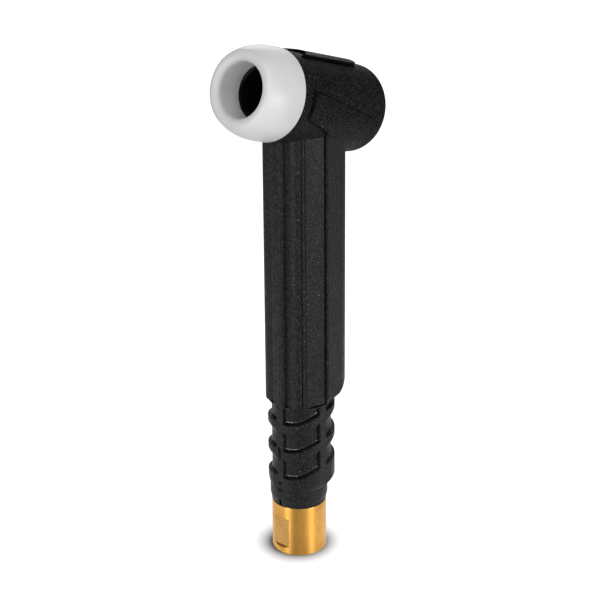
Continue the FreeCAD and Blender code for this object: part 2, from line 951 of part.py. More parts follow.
def nose_seal():
    radius = s.nose_sleeve_radius - groove_size(s.ring_seal_section) / 2
    return node(head_seal("ring_seal", radius, s.ring_seal_section, s.ring_seal_place), "nose_seal")


def rear_seal():
    station = -s.body_rear - groove_size(s.rear_seal_section) / 2
    return node(head_seal("cap_seal", s.rear_seal_radius, s.rear_seal_section, station), "rear_seal")


def rear_sleeve():
    front = -s.body_rear
    low = s.rear_seal_radius - groove_size(s.rear_seal_section) / 2
    high = s.rear_seal_radius + groove_size(s.rear_seal_section) / 2
    floor = front - groove_size(s.rear_seal_section)
    corners = [
        (s.cap_opening, s.rear_wall - s.barrel_rear),
        (s.body_radius, s.rear_wall - s.barrel_rear),
        (s.body_radius, front),
        (high, front),
        (high, floor),
        (low, floor),
        (low, front),
        (s.cap_opening + s.mouth_chamfer, front),
        (s.cap_opening, front - s.mouth_chamfer),
    ]
    return node(on_head(revolved("rear_tube", corners)), "rear_sleeve")


# White insulator ring, which pulls off the nose sleeve along the head's axis

def insulator_ring():
    socket = s.nose_sleeve_radius + s.running_gap
    spigot = socket + s.spigot_wall
    spigot_back = s.barrel_front - s.pocket_depth + s.seat_gap
    back = s.barrel_front + s.seat_gap
    side_centre = s.ring_radius - s.ring_round
    rim_height = s.ring_front - s.rim_round
    rise = rim_height - s.ring_straight
    spread = s.ring_round - s.rim_round
    run = leg(spread, rise)
    rim_centre = side_centre + run
    outer_touch = (
        side_centre + run * s.ring_round / spread,
        s.ring_straight + rise * s.ring_round / spread,
    )
    lip_front = s.nose_reach + s.seat_gap
    inner_touch = touching_point((rim_centre, rim_height), s.rim_round, (s.ring_bore, lip_front), -1)
    corners = [
        (socket, spigot_back),
        (spigot, spigot_back),
        (spigot, back),
        (s.ring_radius - s.ring_back_edge, back),
        (s.ring_radius, back + s.ring_back_edge),
        (s.ring_radius, s.ring_straight),
        outer_touch,
        (rim_centre, s.ring_front),
        inner_touch,
        (s.ring_bore, lip_front),
        (socket, lip_front),
    ]
    arcs = {5: (s.ring_round, 1), 6: (s.rim_round, 1), 7: (s.rim_round, 1)}
    return node(on_head(revolved("white_ring", corners, arcs)), "insulator_ring")


# Build every piece

corner_beads = [corner_bead(-1), corner_bead(1)]
tail_connector()
connector_seal()
tail_collar()
finished_tail(corner_beads)
node(dowels("tail_dowel_pair"), "tail_dowels")
braze_tail()
power_tube()
tube_sleeve()
braze_head()
handle_core(corner_beads)
nose_strip()
side_shells()
head_jacket()
top_plate()
head_body()
gallery_band()
nose_sleeve()
nose_seal()
rear_sleeve()
rear_seal()
insulator_ring()
doc.recompute()

# Check every object, then write every piece

for thing in doc.Objects:
    failed = [word for word in thing.State if word in ("Invalid", "Error")]
    if failed:
        raise RuntimeError("%s (%s) is %s" % (thing.Name, thing.Label, failed))

os.makedirs("parts", exist_ok=True)
for piece in NODES:
    shape = piece.Shape
    if shape.isNull() or not shape.isValid() or not shape.Solids:
        raise RuntimeError("%s has no valid solid" % piece.Label)

for piece in NODES:
    piece.Shape.exportStep("parts/%s.step" % piece.Label)
    print("%-18s solids %d volume %10.2f" % (piece.Label, len(piece.Shape.Solids), piece.Shape.Volume))
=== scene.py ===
import json
import math

import bmesh
import bpy
from mathutils import Matrix, Vector


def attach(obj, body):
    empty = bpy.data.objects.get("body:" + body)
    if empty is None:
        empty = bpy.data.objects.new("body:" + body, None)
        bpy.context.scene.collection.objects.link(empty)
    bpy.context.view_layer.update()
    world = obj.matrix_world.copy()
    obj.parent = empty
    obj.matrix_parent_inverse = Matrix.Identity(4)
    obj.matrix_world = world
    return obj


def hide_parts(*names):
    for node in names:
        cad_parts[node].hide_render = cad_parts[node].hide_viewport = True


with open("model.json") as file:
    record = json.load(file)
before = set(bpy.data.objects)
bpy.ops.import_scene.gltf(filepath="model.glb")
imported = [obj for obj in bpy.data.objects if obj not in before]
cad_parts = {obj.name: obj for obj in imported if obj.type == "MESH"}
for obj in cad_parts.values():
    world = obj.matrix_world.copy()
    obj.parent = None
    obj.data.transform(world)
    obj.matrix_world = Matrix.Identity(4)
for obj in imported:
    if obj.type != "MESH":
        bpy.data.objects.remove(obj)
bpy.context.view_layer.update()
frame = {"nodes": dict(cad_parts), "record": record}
SLOTS = {part["node"]: part["material_slot"] for part in frame["record"]["subparts"]}

MM = 0.001

# Camera, from a fit to the outlines in the photo
CAMERA_AZIMUTH = 43.0
CAMERA_ELEVATION = 23.82
CAMERA_DISTANCE = 0.6046
CAMERA_TARGET = Vector((0, 0, 0.085))
AIM_RIGHT = 0.000806
AIM_DOWN = 0.004918
CAMERA_ROLL = -0.402
LENS = 127.896
SENSOR = 36.0
HALF_PIXEL = 0.5 / 600

# Sizes shared with the part, in millimetres
HEAD_HEIGHT = 140.0
HEAD_TILT = math.radians(20.5)
BARREL_RADIUS = 12.4
BARREL_FRONT = 11.3
BARREL_REAR = 26.8
REAR_FLAT = 8.25
REAR_WALL = 2.8
REAR_EDGE = 0.3
JACKET_BORE = 8.4
CAP_BORE = 5.8
BODY_FRONT = 4.5
POCKET_FLOOR = 6.9
SLEEVE_RADIUS = 9.0
SLEEVE_BORE = 6.85
SLEEVE_FRONT = 15.0
NOSE_SEAL = 11.5
SEAL_WIDTH = 1.06
SEAT_GAP = 0.1
RUNNING_GAP = 0.05
SPIGOT_WALL = 1.35
RING_RADIUS = 13.0
RING_STRAIGHT = 14.5
RING_ROUND = 18.7
RING_FRONT = 24.0
RING_BORE = 7.7
RIM_ROUND = 1.75
TAIL_LOW = 21.5
HANDLE_LOW = 49.3
HEEL_REACH = 12.3
HEEL_ROUND = 7.0
HEEL_RISE = 5.4
HEEL_MIDDLE = 1.71
CONNECTOR_RADIUS = 8.0
CONNECTOR_TOP = 16.0
SPIGOT_RADIUS = 6.0
SPIGOT_TOP = 24.0
TAIL_SEAL_LOW = 18.4
THREAD_BORE = 4.3
THREAD_DEPTH = 11.0
TUBE_RADIUS = 3.2
TUBE_BORE = 2.2
TUBE_SOCKET = 18.0

# The head's own frame: local Z runs out of the nose and local Y points up
NOSE_WAY = Vector((0, -math.cos(HEAD_TILT), math.sin(HEAD_TILT)))
HEAD_UP = Vector((0, math.sin(HEAD_TILT), math.cos(HEAD_TILT)))
HEAD = Matrix.Translation((0, 0, HEAD_HEIGHT)) @ Matrix((
    (1, HEAD_UP.x, NOSE_WAY.x, 0),
    (0, HEAD_UP.y, NOSE_WAY.y, 0),
    (0, HEAD_UP.z, NOSE_WAY.z, 0),
    (0, 0, 0, 1),
))
UPRIGHT = Matrix.Identity(4)


# Outlines

def arc(centre, radius, start, end, steps):
    """Points on a circle; angles in degrees."""
    points = []
    for i in range(steps + 1):
        angle = math.radians(start + (end - start) * i / steps)
        points.append((centre[0] + radius * math.cos(angle), centre[1] + radius * math.sin(angle)))
    return points


def rounded(corners, steps):
    """A closed outline from corners given as (x, y, radius), with each corner rounded by its radius."""
    points = []
    count = len(corners)
    for i, (x, y, radius) in enumerate(corners):
        here = Vector((x, y))
        if radius <= 0:
            points.append((x, y))
            continue
        to_last = (Vector(corners[i - 1][:2]) - here).normalized()
        to_next = (Vector(corners[(i + 1) % count][:2]) - here).normalized()
        half = to_last.angle(to_next) / 2
        centre = here + (to_last + to_next).normalized() * (radius / math.sin(half))
        first = here + to_last * (radius / math.tan(half)) - centre
        turn = first.angle_signed(here + to_next * (radius / math.tan(half)) - centre)
        for k in range(steps + 1):
            spoke = first.copy()
            spoke.rotate(Matrix.Rotation(-turn * k / steps, 2))
            points.append(tuple(centre + spoke))
    return points


def inset(points, distance):
    """The closed outline moved inwards (to its left when it runs counterclockwise) by the distance."""
    moved = []
    count = len(points)
    for i, point in enumerate(points):
        before = Vector(point) - Vector(points[i - 1])
        after = Vector(points[(i + 1) % count]) - Vector(point)
        way = before.normalized() + after.normalized()
        way = way.normalized() if way.length > 1e-9 else after.normalized()
        moved.append((point[0] - way.y * distance, point[1] + way.x * distance))
    return moved


# Meshes

def finished(name, shape, body, replaced, materials, smooth_angle=35):
    """Turns a bmesh in millimetres into a piece that rides on a body and stands for CAD nodes."""
    bmesh.ops.remove_doubles(shape, verts=shape.verts, dist=1e-4)
    bmesh.ops.dissolve_degenerate(shape, edges=shape.edges, dist=1e-4)
    bmesh.ops.recalc_face_normals(shape, faces=shape.faces)
    bmesh.ops.scale(shape, vec=(MM, MM, MM), verts=shape.verts)
    mesh = bpy.data.meshes.new(name)
    for face in shape.faces:
        face.smooth = True
    for edge in shape.edges:
        if edge.is_manifold and edge.calc_face_angle(0) > math.radians(smooth_angle):
            edge.smooth = False
    shape.to_mesh(mesh)
    shape.free()
    piece = bpy.data.objects.new(name, mesh)
    bpy.context.scene.collection.objects.link(piece)
    for material in materials:
        mesh.materials.append(material)
    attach(piece, body)
    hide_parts(*replaced)
    return piece


def skin(shape, rings, closed_round=True):
    """Joins rings of vertices, each with the same count, by four-sided faces."""
    made = [[shape.verts.new(point) for point in ring] for ring in rings]
    count = len(made)
    across = len(made[0])
    for i in range(count if closed_round else count - 1):
        one = made[i]
        two = made[(i + 1) % count]
        for k in range(across):
            after = (k + 1) % across
            shape.faces.new((one[k], two[k], two[after], one[after]))
    if not closed_round:
        shape.faces.new(made[0])
        shape.faces.new(made[-1])


def revolved(profile, place, segments=160, trim=None, extra=()):
    """A closed profile of (radius, height) turned round the local Z axis of a place.

    A trim gives the radius for an angle, radius and height, and extra holds more angles to work it out at.
    """
    shape = bmesh.new()
    rings = []
    angles = set([360 * i / segments for i in range(segments)] + [angle % 360 for angle in extra])
    for angle in sorted(angles):
        turn = math.radians(angle)
        ring = [(trim(angle, r, h) if trim else r, h) for r, h in profile]
        rings.append([place @ Vector((r * math.cos(turn), r * math.sin(turn), h)) for r, h in ring])
    skin(shape, rings)
    return shape


def barrel_under(x, y):
    """Height of the barrel's underside above a point of the ground plane."""
    drop = math.sqrt(max(BARREL_RADIUS ** 2 - x * x, 0))
    return HEAD_HEIGHT - (drop + y * math.sin(HEAD_TILT)) / math.cos(HEAD_TILT)


def heel_reach(height):
    """How far the handle's lower back corners reach from the handle's middle at a height."""
    down = max(HANDLE_LOW + HEEL_RISE - height, 0)
    return HEEL_REACH - HEEL_ROUND + math.sqrt(HEEL_ROUND ** 2 - min(down, HEEL_RISE) ** 2)


def standing(name, outline, replaced, materials, edge, heel=False):
    """An upright bar from the handle's foot up to a little inside the barrel, rounded at its foot."""
    foot_steps, heel_steps, sink = 4, 10, 0.4
    rings = []
    for i in range(foot_steps + 1):
        angle = math.radians(90) * (1 - i / foot_steps)
        ring = inset(outline, edge * (1 - math.cos(angle)))
        rings.append([(x, y, HANDLE_LOW + edge * (1 - math.sin(angle))) for x, y in ring])
    if heel:
        foot = HANDLE_LOW + edge
        for i in range(1, heel_steps + 1):
            rings.append([(x, y, foot + (HEEL_RISE - edge) * i / heel_steps) for x, y in outline])
        for ring in rings:
            for i, (x, y, z) in enumerate(ring):
                away = math.hypot(x, y - HEEL_MIDDLE)
                reach = heel_reach(z) - max(foot - z, 0)
                if y > HEEL_MIDDLE and away > reach:
                    ring[i] = (x * reach / away, HEEL_MIDDLE + (y - HEEL_MIDDLE) * reach / away, z)
    rings.append([(x, y, barrel_under(x, y) + sink) for x, y in outline])
    shape = bmesh.new()
    skin(shape, rings, closed_round=False)
    return finished(name, shape, "torch_body", replaced, materials)


def eased(node, width, materials, reshape=None):
    """A copy of a CAD node with its sharp edges rounded; it stands for the node."""
    flat_angle, sharp_angle = math.radians(0.3), math.radians(28)
    shape = bmesh.new()
    shape.from_mesh(frame["nodes"][node].data)
    bmesh.ops.scale(shape, vec=(1 / MM, 1 / MM, 1 / MM), verts=shape.verts)
    if reshape:
        for vert in shape.verts:
            reshape(vert.co)
    bmesh.ops.remove_doubles(shape, verts=shape.verts, dist=1e-3)
    bmesh.ops.dissolve_limit(
        shape, angle_limit=flat_angle, verts=shape.verts, edges=shape.edges, use_dissolve_boundaries=False,
    )
    edges = [edge for edge in shape.edges if edge.is_manifold and edge.calc_face_angle(0) > sharp_angle]
    bmesh.ops.bevel(
        shape, geom=edges, offset=width, offset_type="OFFSET", segments=3, profile=0.5, affect="EDGES",
        clamp_overlap=True, miter_outer="ARC",
    )
    return finished(node + "_eased", shape, "torch_body", (node,), materials)


# Pieces of the head

FINE_SEGMENTS = 224
EDGE = 0.15
MOUTH_EDGE = 0.35
SHELL_EASE = 0.3
CHEEK_RISE = 0.85
CHEEK_LOW = -9.0
CHEEK_BACK = 0.5
PLATE_EASE = 0.35
PLATE_FOOT = 0.3
PLATE_LEAN = 0.86
PLATE_TOP = 0.2


def ring_profile():
    """White ring: a spigot behind, a bulging side, a rounded rim and a wide mouth that narrows inwards."""
    socket = SLEEVE_RADIUS + RUNNING_GAP
    spigot = socket + SPIGOT_WALL
    spigot_back = POCKET_FLOOR + SEAT_GAP
    shoulder = SLEEVE_FRONT + SEAT_GAP
    back = BARREL_FRONT + SEAT_GAP
    back_edge = 0.2
    rim_height = RING_FRONT - RIM_ROUND
    rise = rim_height - RING_STRAIGHT
    spread = RING_ROUND - RIM_ROUND
    run = math.sqrt(spread ** 2 - rise ** 2)
    side_centre = RING_RADIUS - RING_ROUND
    rim = (side_centre + run, rim_height)
    first = math.degrees(math.atan2(rise, run))
    away = Vector((RING_BORE, shoulder)) - Vector(rim)
    reach = math.degrees(math.acos(RIM_ROUND / away.length))
    last = math.degrees(math.atan2(away.y, away.x)) % 360 - reach
    profile = [(socket, spigot_back), (spigot, spigot_back), (spigot, back)]
    profile += arc((RING_RADIUS - back_edge, back + back_edge), back_edge, -90, 0, 3)
    profile += arc((side_centre, RING_STRAIGHT), RING_ROUND, 0, first, 14)
    profile += arc(rim, RIM_ROUND, first, last, 18)
    mouth = Vector(profile[-1])
    profile += [tuple(mouth.lerp((RING_BORE, shoulder), share)) for share in (0.25, 0.5, 0.75)]
    return profile + [(RING_BORE, shoulder), (socket, shoulder)]


def sleeve_profile():
    """Dark sleeve inside the ring, with the seal's groove round it and a rounded mouth."""
    low = NOSE_SEAL - SEAL_WIDTH / 2
    high = NOSE_SEAL + SEAL_WIDTH / 2
    groove = SLEEVE_RADIUS - SEAL_WIDTH
    profile = [(SLEEVE_BORE, BODY_FRONT), (SLEEVE_RADIUS, BODY_FRONT), (SLEEVE_RADIUS, low), (groove, low)]
    profile += [(groove, high), (SLEEVE_RADIUS, high), (SLEEVE_RADIUS, SLEEVE_FRONT - EDGE)]
    profile += [(SLEEVE_RADIUS - EDGE, SLEEVE_FRONT), (SLEEVE_BORE + MOUTH_EDGE, SLEEVE_FRONT)]
    return profile + [(SLEEVE_BORE + 0.1, SLEEVE_FRONT - 0.1), (SLEEVE_BORE, SLEEVE_FRONT - MOUTH_EDGE)]


def jacket_profile():
    """Barrel with a rounded rear, a pocket for the ring's spigot and a bore for the brass body."""
    rear = -BARREL_REAR
    rear_round = BARREL_RADIUS - REAR_FLAT
    pocket = SLEEVE_RADIUS + SPIGOT_WALL + 2 * RUNNING_GAP
    profile = [(CAP_BORE, rear + REAR_EDGE), (CAP_BORE + REAR_EDGE, rear)]
    profile += arc((REAR_FLAT, rear + rear_round), rear_round, -90, 0, 16)
    profile += [(BARREL_RADIUS, BARREL_FRONT - EDGE), (BARREL_RADIUS - EDGE, BARREL_FRONT)]
    profile += [(pocket, BARREL_FRONT), (pocket, POCKET_FLOOR), (SLEEVE_RADIUS, POCKET_FLOOR)]
    profile += [(SLEEVE_RADIUS, BODY_FRONT), (JACKET_BORE, BODY_FRONT)]
    return profile + [(JACKET_BORE, rear + REAR_WALL), (CAP_BORE, rear + REAR_WALL)]


# Borders that are cut into the barrel as fine grooves, in the head's own frame:
# (up, along, half width) beside the cheeks and (across, along, half width) beside the plate
CHEEK_BORDER = [
    (-0.8, -18.6, 0.42), (3.95, 6.7, 0.42), (3.9, 7.15, 0.3), (3.5, 7.45, 0.22), (-3.5, 7.5, 0.22),
    (-3.85, 7.15, 0.28), (-5.5, 1.3, 0.34), (-5.75, 0.2, 0.34), (-6.2, -0.9, 0.34), (-7.1, -3.7, 0.34),
    (-8.4, -4.3, 0.34),
]
PLATE_SIDE = [
    (3.6, 6.3, 0.3), (3.95, 5.8, 0.5), (4.0, 5.4, 0.5), (4.0, -15.0, 0.5), (3.8, -16.1, 0.5),
    (3.1, -17.0, 0.45), (2.0, -17.6, 0.4), (0.8, -17.75, 0.4),
]
PLATE_BORDER = PLATE_SIDE + [(-across, along, half) for across, along, half in reversed(PLATE_SIDE)]
GROOVE_DEEP = 0.55
GROOVE_OUT = 0.5
GROOVE_STEP = 0.6


def border_groove(shape, border, side=0):
    """A square groove in the barrel along a border, as a closed bar to cut away."""
    path = []
    for one, two in zip(border, border[1:]):
        steps = max(round(math.hypot(two[0] - one[0], two[1] - one[1]) / GROOVE_STEP), 1)
        path += [[a + (b - a) * i / steps for a, b in zip(one, two)] for i in range(steps)]
    path.append(border[-1])
    spine = []
    for one, along in (row[:2] for row in path):
        other = math.sqrt(BARREL_RADIUS ** 2 - one * one)
        spine.append(Vector((side * other, one, along) if side else (one, other, along)))
    rings = []
    corners = ((-GROOVE_DEEP, -1), (-GROOVE_DEEP, 1), (GROOVE_OUT, 1), (GROOVE_OUT, -1))
    for i, point in enumerate(spine):
        out = Vector((point.x, point.y, 0)) / BARREL_RADIUS
        way = (spine[min(i + 1, len(spine) - 1)] - spine[max(i - 1, 0)]).normalized()
        across = out.cross(way).normalized() * path[i][2]
        rings.append([HEAD @ (point + out * rise + across * turn) for rise, turn in corners])
    skin(shape, rings, closed_round=False)


def grooved_barrel(materials):
    """The turned barrel with the grooves beside both cheeks and the plate cut into it."""
    cutter = bmesh.new()
    border_groove(cutter, CHEEK_BORDER, 1)
    border_groove(cutter, CHEEK_BORDER, -1)
    border_groove(cutter, PLATE_BORDER)
    blank = revolved(jacket_profile(), HEAD, FINE_SEGMENTS)
    pair = []
    for name, made in (("barrel_blank", blank), ("groove_bars", cutter)):
        bmesh.ops.recalc_face_normals(made, faces=made.faces)
        mesh = bpy.data.meshes.new(name)
        made.to_mesh(mesh)
        made.free()
        pair.append(bpy.data.objects.new(name, mesh))
        bpy.context.scene.collection.objects.link(pair[-1])
    cut = pair[0].modifiers.new("groove", "BOOLEAN")
    cut.operation = "DIFFERENCE"
    cut.solver = "EXACT"
    cut.object = pair[1]
    result = bpy.data.meshes.new_from_object(pair[0].evaluated_get(bpy.context.evaluated_depsgraph_get()))
    barrel = bmesh.new()
    barrel.from_mesh(result)
    for spent in pair:
        mesh = spent.data
        bpy.data.objects.remove(spent)
        bpy.data.meshes.remove(mesh)
    bpy.data.meshes.remove(result)
    return finished("barrel_turned", barrel, "torch_body", ("head_jacket",), materials)


def across_head(point):
    """Distance of a point from the head's axis and its height above that axis."""
    up = (point - Vector((0, 0, HEAD_HEIGHT))).dot(HEAD_UP)
    return math.hypot(point.x, up), up


def on_cheek(point):
    """Whether a point of a side shell lies on the round of the barrel's cheek."""
    away, up = across_head(point)
    return away < BARREL_RADIUS + CHEEK_RISE and (up > CHEEK_LOW or point.y > BACK + CHEEK_BACK)


def lean_in(point):
    """Draws the plate's lower edge in, so its wall overhangs a little."""
    away = across_head(point)[0]
    if away < BARREL_RADIUS + PLATE_FOOT:
        point.x *= PLATE_LEAN


def side_shell(node, materials):
    """A side shell with eased edges; where it lies on the barrel's cheek it has the second material."""
    shell = eased(node, SHELL_EASE, materials)
    for face in shell.data.polygons:
        face.material_index = 1 if on_cheek(face.center / MM) else 0


def top_plate(materials):
    """The plate on the barrel with eased edges; its walls have the second material, a darker black that is
    painted shade.
    """
    plate = eased("top_plate", PLATE_EASE, materials, lean_in)
    for face in plate.data.polygons:
        # Faces turned away from up get the painted shade
        face.material_index = 1 if face.normal.dot(HEAD_UP) < PLATE_TOP else 0


# Handle

NOSE_FACE = -7.6
CORNER = (4.45, -4.5)
CORNER_ROUND = 3.1
SIDE = 9.5
SIDE_START = 1.35
BACK = 10.1
BACK_ROUND = 3.0
STRIP_HALF = 2.15
STRIP_RISE = 1.06
STRIP_SLOPE = 0.3
STRIP_ROUND = 0.8
SLOT_DEPTH = 0.8
SLOT_GAP = 0.02
SLOT_EDGE = 0.05
SHELL_GAP = 0.4
PARTING_PLACE = 0.5
BEAD_PLACE = 3.95
BEAD_ROUND = 0.5
BEAD_SUNK = 0.15
BEAD_HALF = 0.47
HOLLOW_DEPTH = 0.24
HOLLOW_WIDTH = 0.34
OUTLINE_STEP = 0.04
STRAIGHT_RUN = 1.5


def slope_touch():
    """Angle at which the side slope meets the front corner's round."""
    away = Vector((SIDE - CORNER[0], SIDE_START - CORNER[1]))
    return math.degrees(math.atan2(away.y, away.x) - math.acos(CORNER_ROUND / away.length))


def bead_rise(off):
    """Height of the thin bead on the corner, with a small hollow on each side of it."""
    off = abs(off)
    if off < BEAD_HALF:
        return math.sqrt(BEAD_ROUND ** 2 - off * off) - BEAD_SUNK
    return -HOLLOW_DEPTH * max(1 - (off - BEAD_HALF) / HOLLOW_WIDTH, 0)


def handle_outline():
    """The core's section, counterclockwise from the nose strip's slot, with a bead on each front corner."""
    last = slope_touch()
    bend = CORNER_ROUND * math.radians(last + 90)
    away = Vector((math.cos(math.radians(last)), math.sin(math.radians(last))))
    touch = Vector(CORNER) + away * CORNER_ROUND
    slope = (Vector((SIDE, SIDE_START)) - touch).normalized()
    wall = STRIP_HALF + SLOT_GAP
    right = [(wall, NOSE_FACE + SLOT_DEPTH), (wall, NOSE_FACE + SLOT_EDGE)]
    right.append((STRIP_HALF + 2 * SLOT_EDGE, NOSE_FACE))
    for i in range(round((bend + STRAIGHT_RUN) / OUTLINE_STEP) + 1):
        run = OUTLINE_STEP * i
        if run < bend:
            angle = math.radians(-90) + run / CORNER_ROUND
            way = Vector((math.cos(angle), math.sin(angle)))
            point = Vector(CORNER) + way * CORNER_ROUND
        else:
            way = away
            point = touch + slope * (run - bend)
        right.append(tuple(point + way * bead_rise(run - BEAD_PLACE)))
    # A narrow gap before the side shell
    end = Vector((SIDE, SIDE_START)) - slope * SHELL_GAP
    right += [tuple(end), (end.x - SHELL_GAP, end.y + 0.1)]
    right += [(SIDE - 0.6, SIDE_START + 0.5), (SIDE, SIDE_START + 0.6)]
    right += arc((SIDE - BACK_ROUND, BACK - BACK_ROUND), BACK_ROUND, 0, 90, 8)
    return right + [(-x, y) for x, y in reversed(right)]


def strip_outline():
    """The raised strip has sloping sides, rounded edges and a fine parting line down its front."""
    front = NOSE_FACE - STRIP_RISE
    ridge = ((-0.12, 0), (-0.05, 0.05), (0.05, 0.05), (0.12, 0))
    line = [(PARTING_PLACE + x, front - rise) for x, rise in ridge]
    corners = [(-STRIP_HALF, NOSE_FACE + SLOT_DEPTH, 0), (-STRIP_HALF, NOSE_FACE, 0)]
    corners += [(-STRIP_HALF + STRIP_SLOPE, front, STRIP_ROUND), (0, front, 0)]
    left = rounded(corners, 8)[:-1]
    return left + line + [(-x, y) for x, y in reversed(left)]


# Threaded tail

TAIL_MIDDLE = 1.2
TUBE_SPACE = 4.4
CORE = 8.6
CREST = 9.75
PITCH = 8.8
TURNS = 4
FIRST_LEDGE = 25.75
COLLAR = 8.4
TAIL_SEGMENTS = 288
FOOT_RISE = 2.9
FOOT_LEVELS = 13
FOOT_STEP = 0.32
FOOT_START = 0.0001
FOOT_CLEAR = 0.25

# The four flat bars, with a fine groove along each side of them, whose widths are in degrees
BAR = 9.35
BAR_HALF = 1.25
BAR_SHIFT = 0.75
BAR_EASE = 0.6
BAR_EASE_DEPTH = 0.1
BAR_STEPS = (3.2, 2.4, 1.6, 0.9, 0.25, 0.06, -0.25, -0.7)
GROOVE_REACH = 3.2
GROOVE_FLAT = 2.0
GROOVE_DEPTH = 0.45
GROOVE_BELOW = 0.3

# The ribs end below the handle, under a shoulder: (depth below the crest, height above the ribs' end)
RIBS_HIGH = HANDLE_LOW - 0.9
SHOULDER = [(1.0, 0.15), (0.7, 0.3), (0.25, 0.45), (0.0, 0.55)]
TOP_GAP = 0.02
TOP_INSET = 0.06
FRONT_LIMIT = 0.05

# Small gaps down the nose line, where the mould's halves met: half width in degrees, then (low, high, depth)
NOTCH_HALF = 3.3
NOTCH_STEPS = (-3.3, -2.9, -2.0, -1.0, 1.0, 2.0, 2.9, 3.3)
NOTCH_RUN_OUT = 0.25
TAIL_NOTCHES = [(31.9, 33.3, 0.6), (33.6, 35.4, 0.65), (23.0, 24.1, 0.75), (21.3, 21.8, 0.5)]
COLLAR_NOTCHES = [(15.8, 18.2, 0.8), (19.2, 19.8, 0.35), (21.2, 21.75, 0.6)]

# Each half turn of the moulded thread starts flat at the nose line and then climbs: (degrees, millimetres)
LEDGE_CLIMB = [
    (0, 0.0), (12, 0.0), (20, 0.08), (29, 0.22), (38, 0.56), (47, 1.0), (56, 1.62), (65, 2.28), (73, 2.78),
    (83, 3.2), (92, 3.5), (104, 3.8), (115, 4.1), (130, 4.5), (147, 4.84), (160, 4.9), (174, 4.9), (180, 4.8),
]

# One rib seen from the side, going up from the ledge below it: (radius, height from its own ledge)
RIB = [
    (CORE - 0.8, -PITCH), (CORE - 0.85, -PITCH + 0.2), (CORE - 0.6, -PITCH + 0.5),
    (CORE - 0.1, -PITCH + 0.62), (CORE + 0.1, -PITCH + 0.72), (CORE + 0.1, -PITCH + 0.78),
    (CORE + 0.02, -PITCH + 0.9), (CORE, -PITCH + 1.1),
    (CORE, -5.0), (CORE + 0.03, -4.6), (CORE + 0.12, -4.15), (CORE + 0.28, -3.75), (CORE + 0.48, -3.35),
    (CREST - 0.44, -2.95), (CREST - 0.25, -2.6), (CREST - 0.1, -2.3), (CREST - 0.02, -2.05), (CREST, -1.8),
    (CREST, -1.5), (CREST, -1.25), (CREST, -1.0), (CREST, -0.75), (CREST, -0.5), (CREST, -0.2),
    (CREST - 0.03, -0.07), (CREST - 0.12, 0.0), (CORE + 0.5, 0.0),
]

# The lip over each ledge, which catches the light, and the rounded edge of the lowest ledge: (below, inside)
LIP_LOW = 0.74
LIP_HIGH = 0.93
LIP_REACH = CORE + 0.2
LEDGE_EDGE = ((0.07, 0.03), (0.0, 0.12))


def reach_to(outline, middle, turn):
    """Distance from a middle point to a closed outline, in one direction."""
    way = Vector((math.cos(turn), math.sin(turn)))
    reach = 0
    for one, two in zip(outline, outline[1:] + outline[:1]):
        one, two = Vector(one) - middle, Vector(two) - middle
        off_one, off_two = way.cross(one), way.cross(two)
        if off_one * off_two <= 0 and off_one != off_two:
            reach = max(reach, way.dot(one.lerp(two, off_one / (off_one - off_two))))
    return reach


def ledge_height(around):
    """Height of the lowest ledge, at an angle from the nose towards +X."""
    halves, rest = divmod(around, 180)
    start = FIRST_LEDGE - halves * PITCH / 2
    for (a, low), (b, high) in zip(LEDGE_CLIMB, LEDGE_CLIMB[1:]):
        if a <= rest <= b:
            return start + low + (high - low) * (rest - a) / (b - a)
    return start


def tail_foot(turn, height):
    """Radius to which the tail's lower end is rounded off towards the collar, whose centre lies before it."""
    start = -TAIL_MIDDLE * math.sin(turn) + math.sqrt(COLLAR ** 2 - (TAIL_MIDDLE * math.cos(turn)) ** 2)
    share = min((height - TAIL_LOW) / FOOT_RISE, 1)
    return start + (CREST - start) * math.sin(math.radians(90) * share)


def notch_depth(around, height, notches):
    """Depth of the small gaps down the nose line."""
    off = min(around, 360 - around)
    if off > NOTCH_HALF:
        return 0
    across = 1 - (off / NOTCH_HALF) ** 4
    for low, high, depth in notches:
        if low < height < high:
            along = min(height - low, high - height, NOTCH_RUN_OUT) / NOTCH_RUN_OUT
            return depth * across * along
    return 0


def bar_spans():
    """Start and end of each flat bar, in degrees from +X; the side bars lie a little towards the nose."""
    spans = []
    for middle, shift in ((0, -BAR_SHIFT), (90, 0), (180, BAR_SHIFT), (270, 0)):
        low, high = [math.degrees(math.asin((shift + half) / BAR)) for half in (-BAR_HALF, BAR_HALF)]
        spans.append((middle + low, middle + high))
    return spans


def near_bars(angle, flat, spans):
    """Least radius where a bar runs, and depth of the fine groove beside it."""
    floor = groove = 0
    for start, end in spans:
        for here in (angle, angle - 360):
            off = max(start - here, here - end)
            if off <= 0:
                floor = flat - BAR_EASE_DEPTH * max(1 + off / BAR_EASE, 0) ** 2
            elif off < GROOVE_REACH:
                side = max(off - GROOVE_FLAT, 0) / (GROOVE_REACH - GROOVE_FLAT)
                groove = GROOVE_DEPTH * (1 - side ** 2)
    return floor, groove


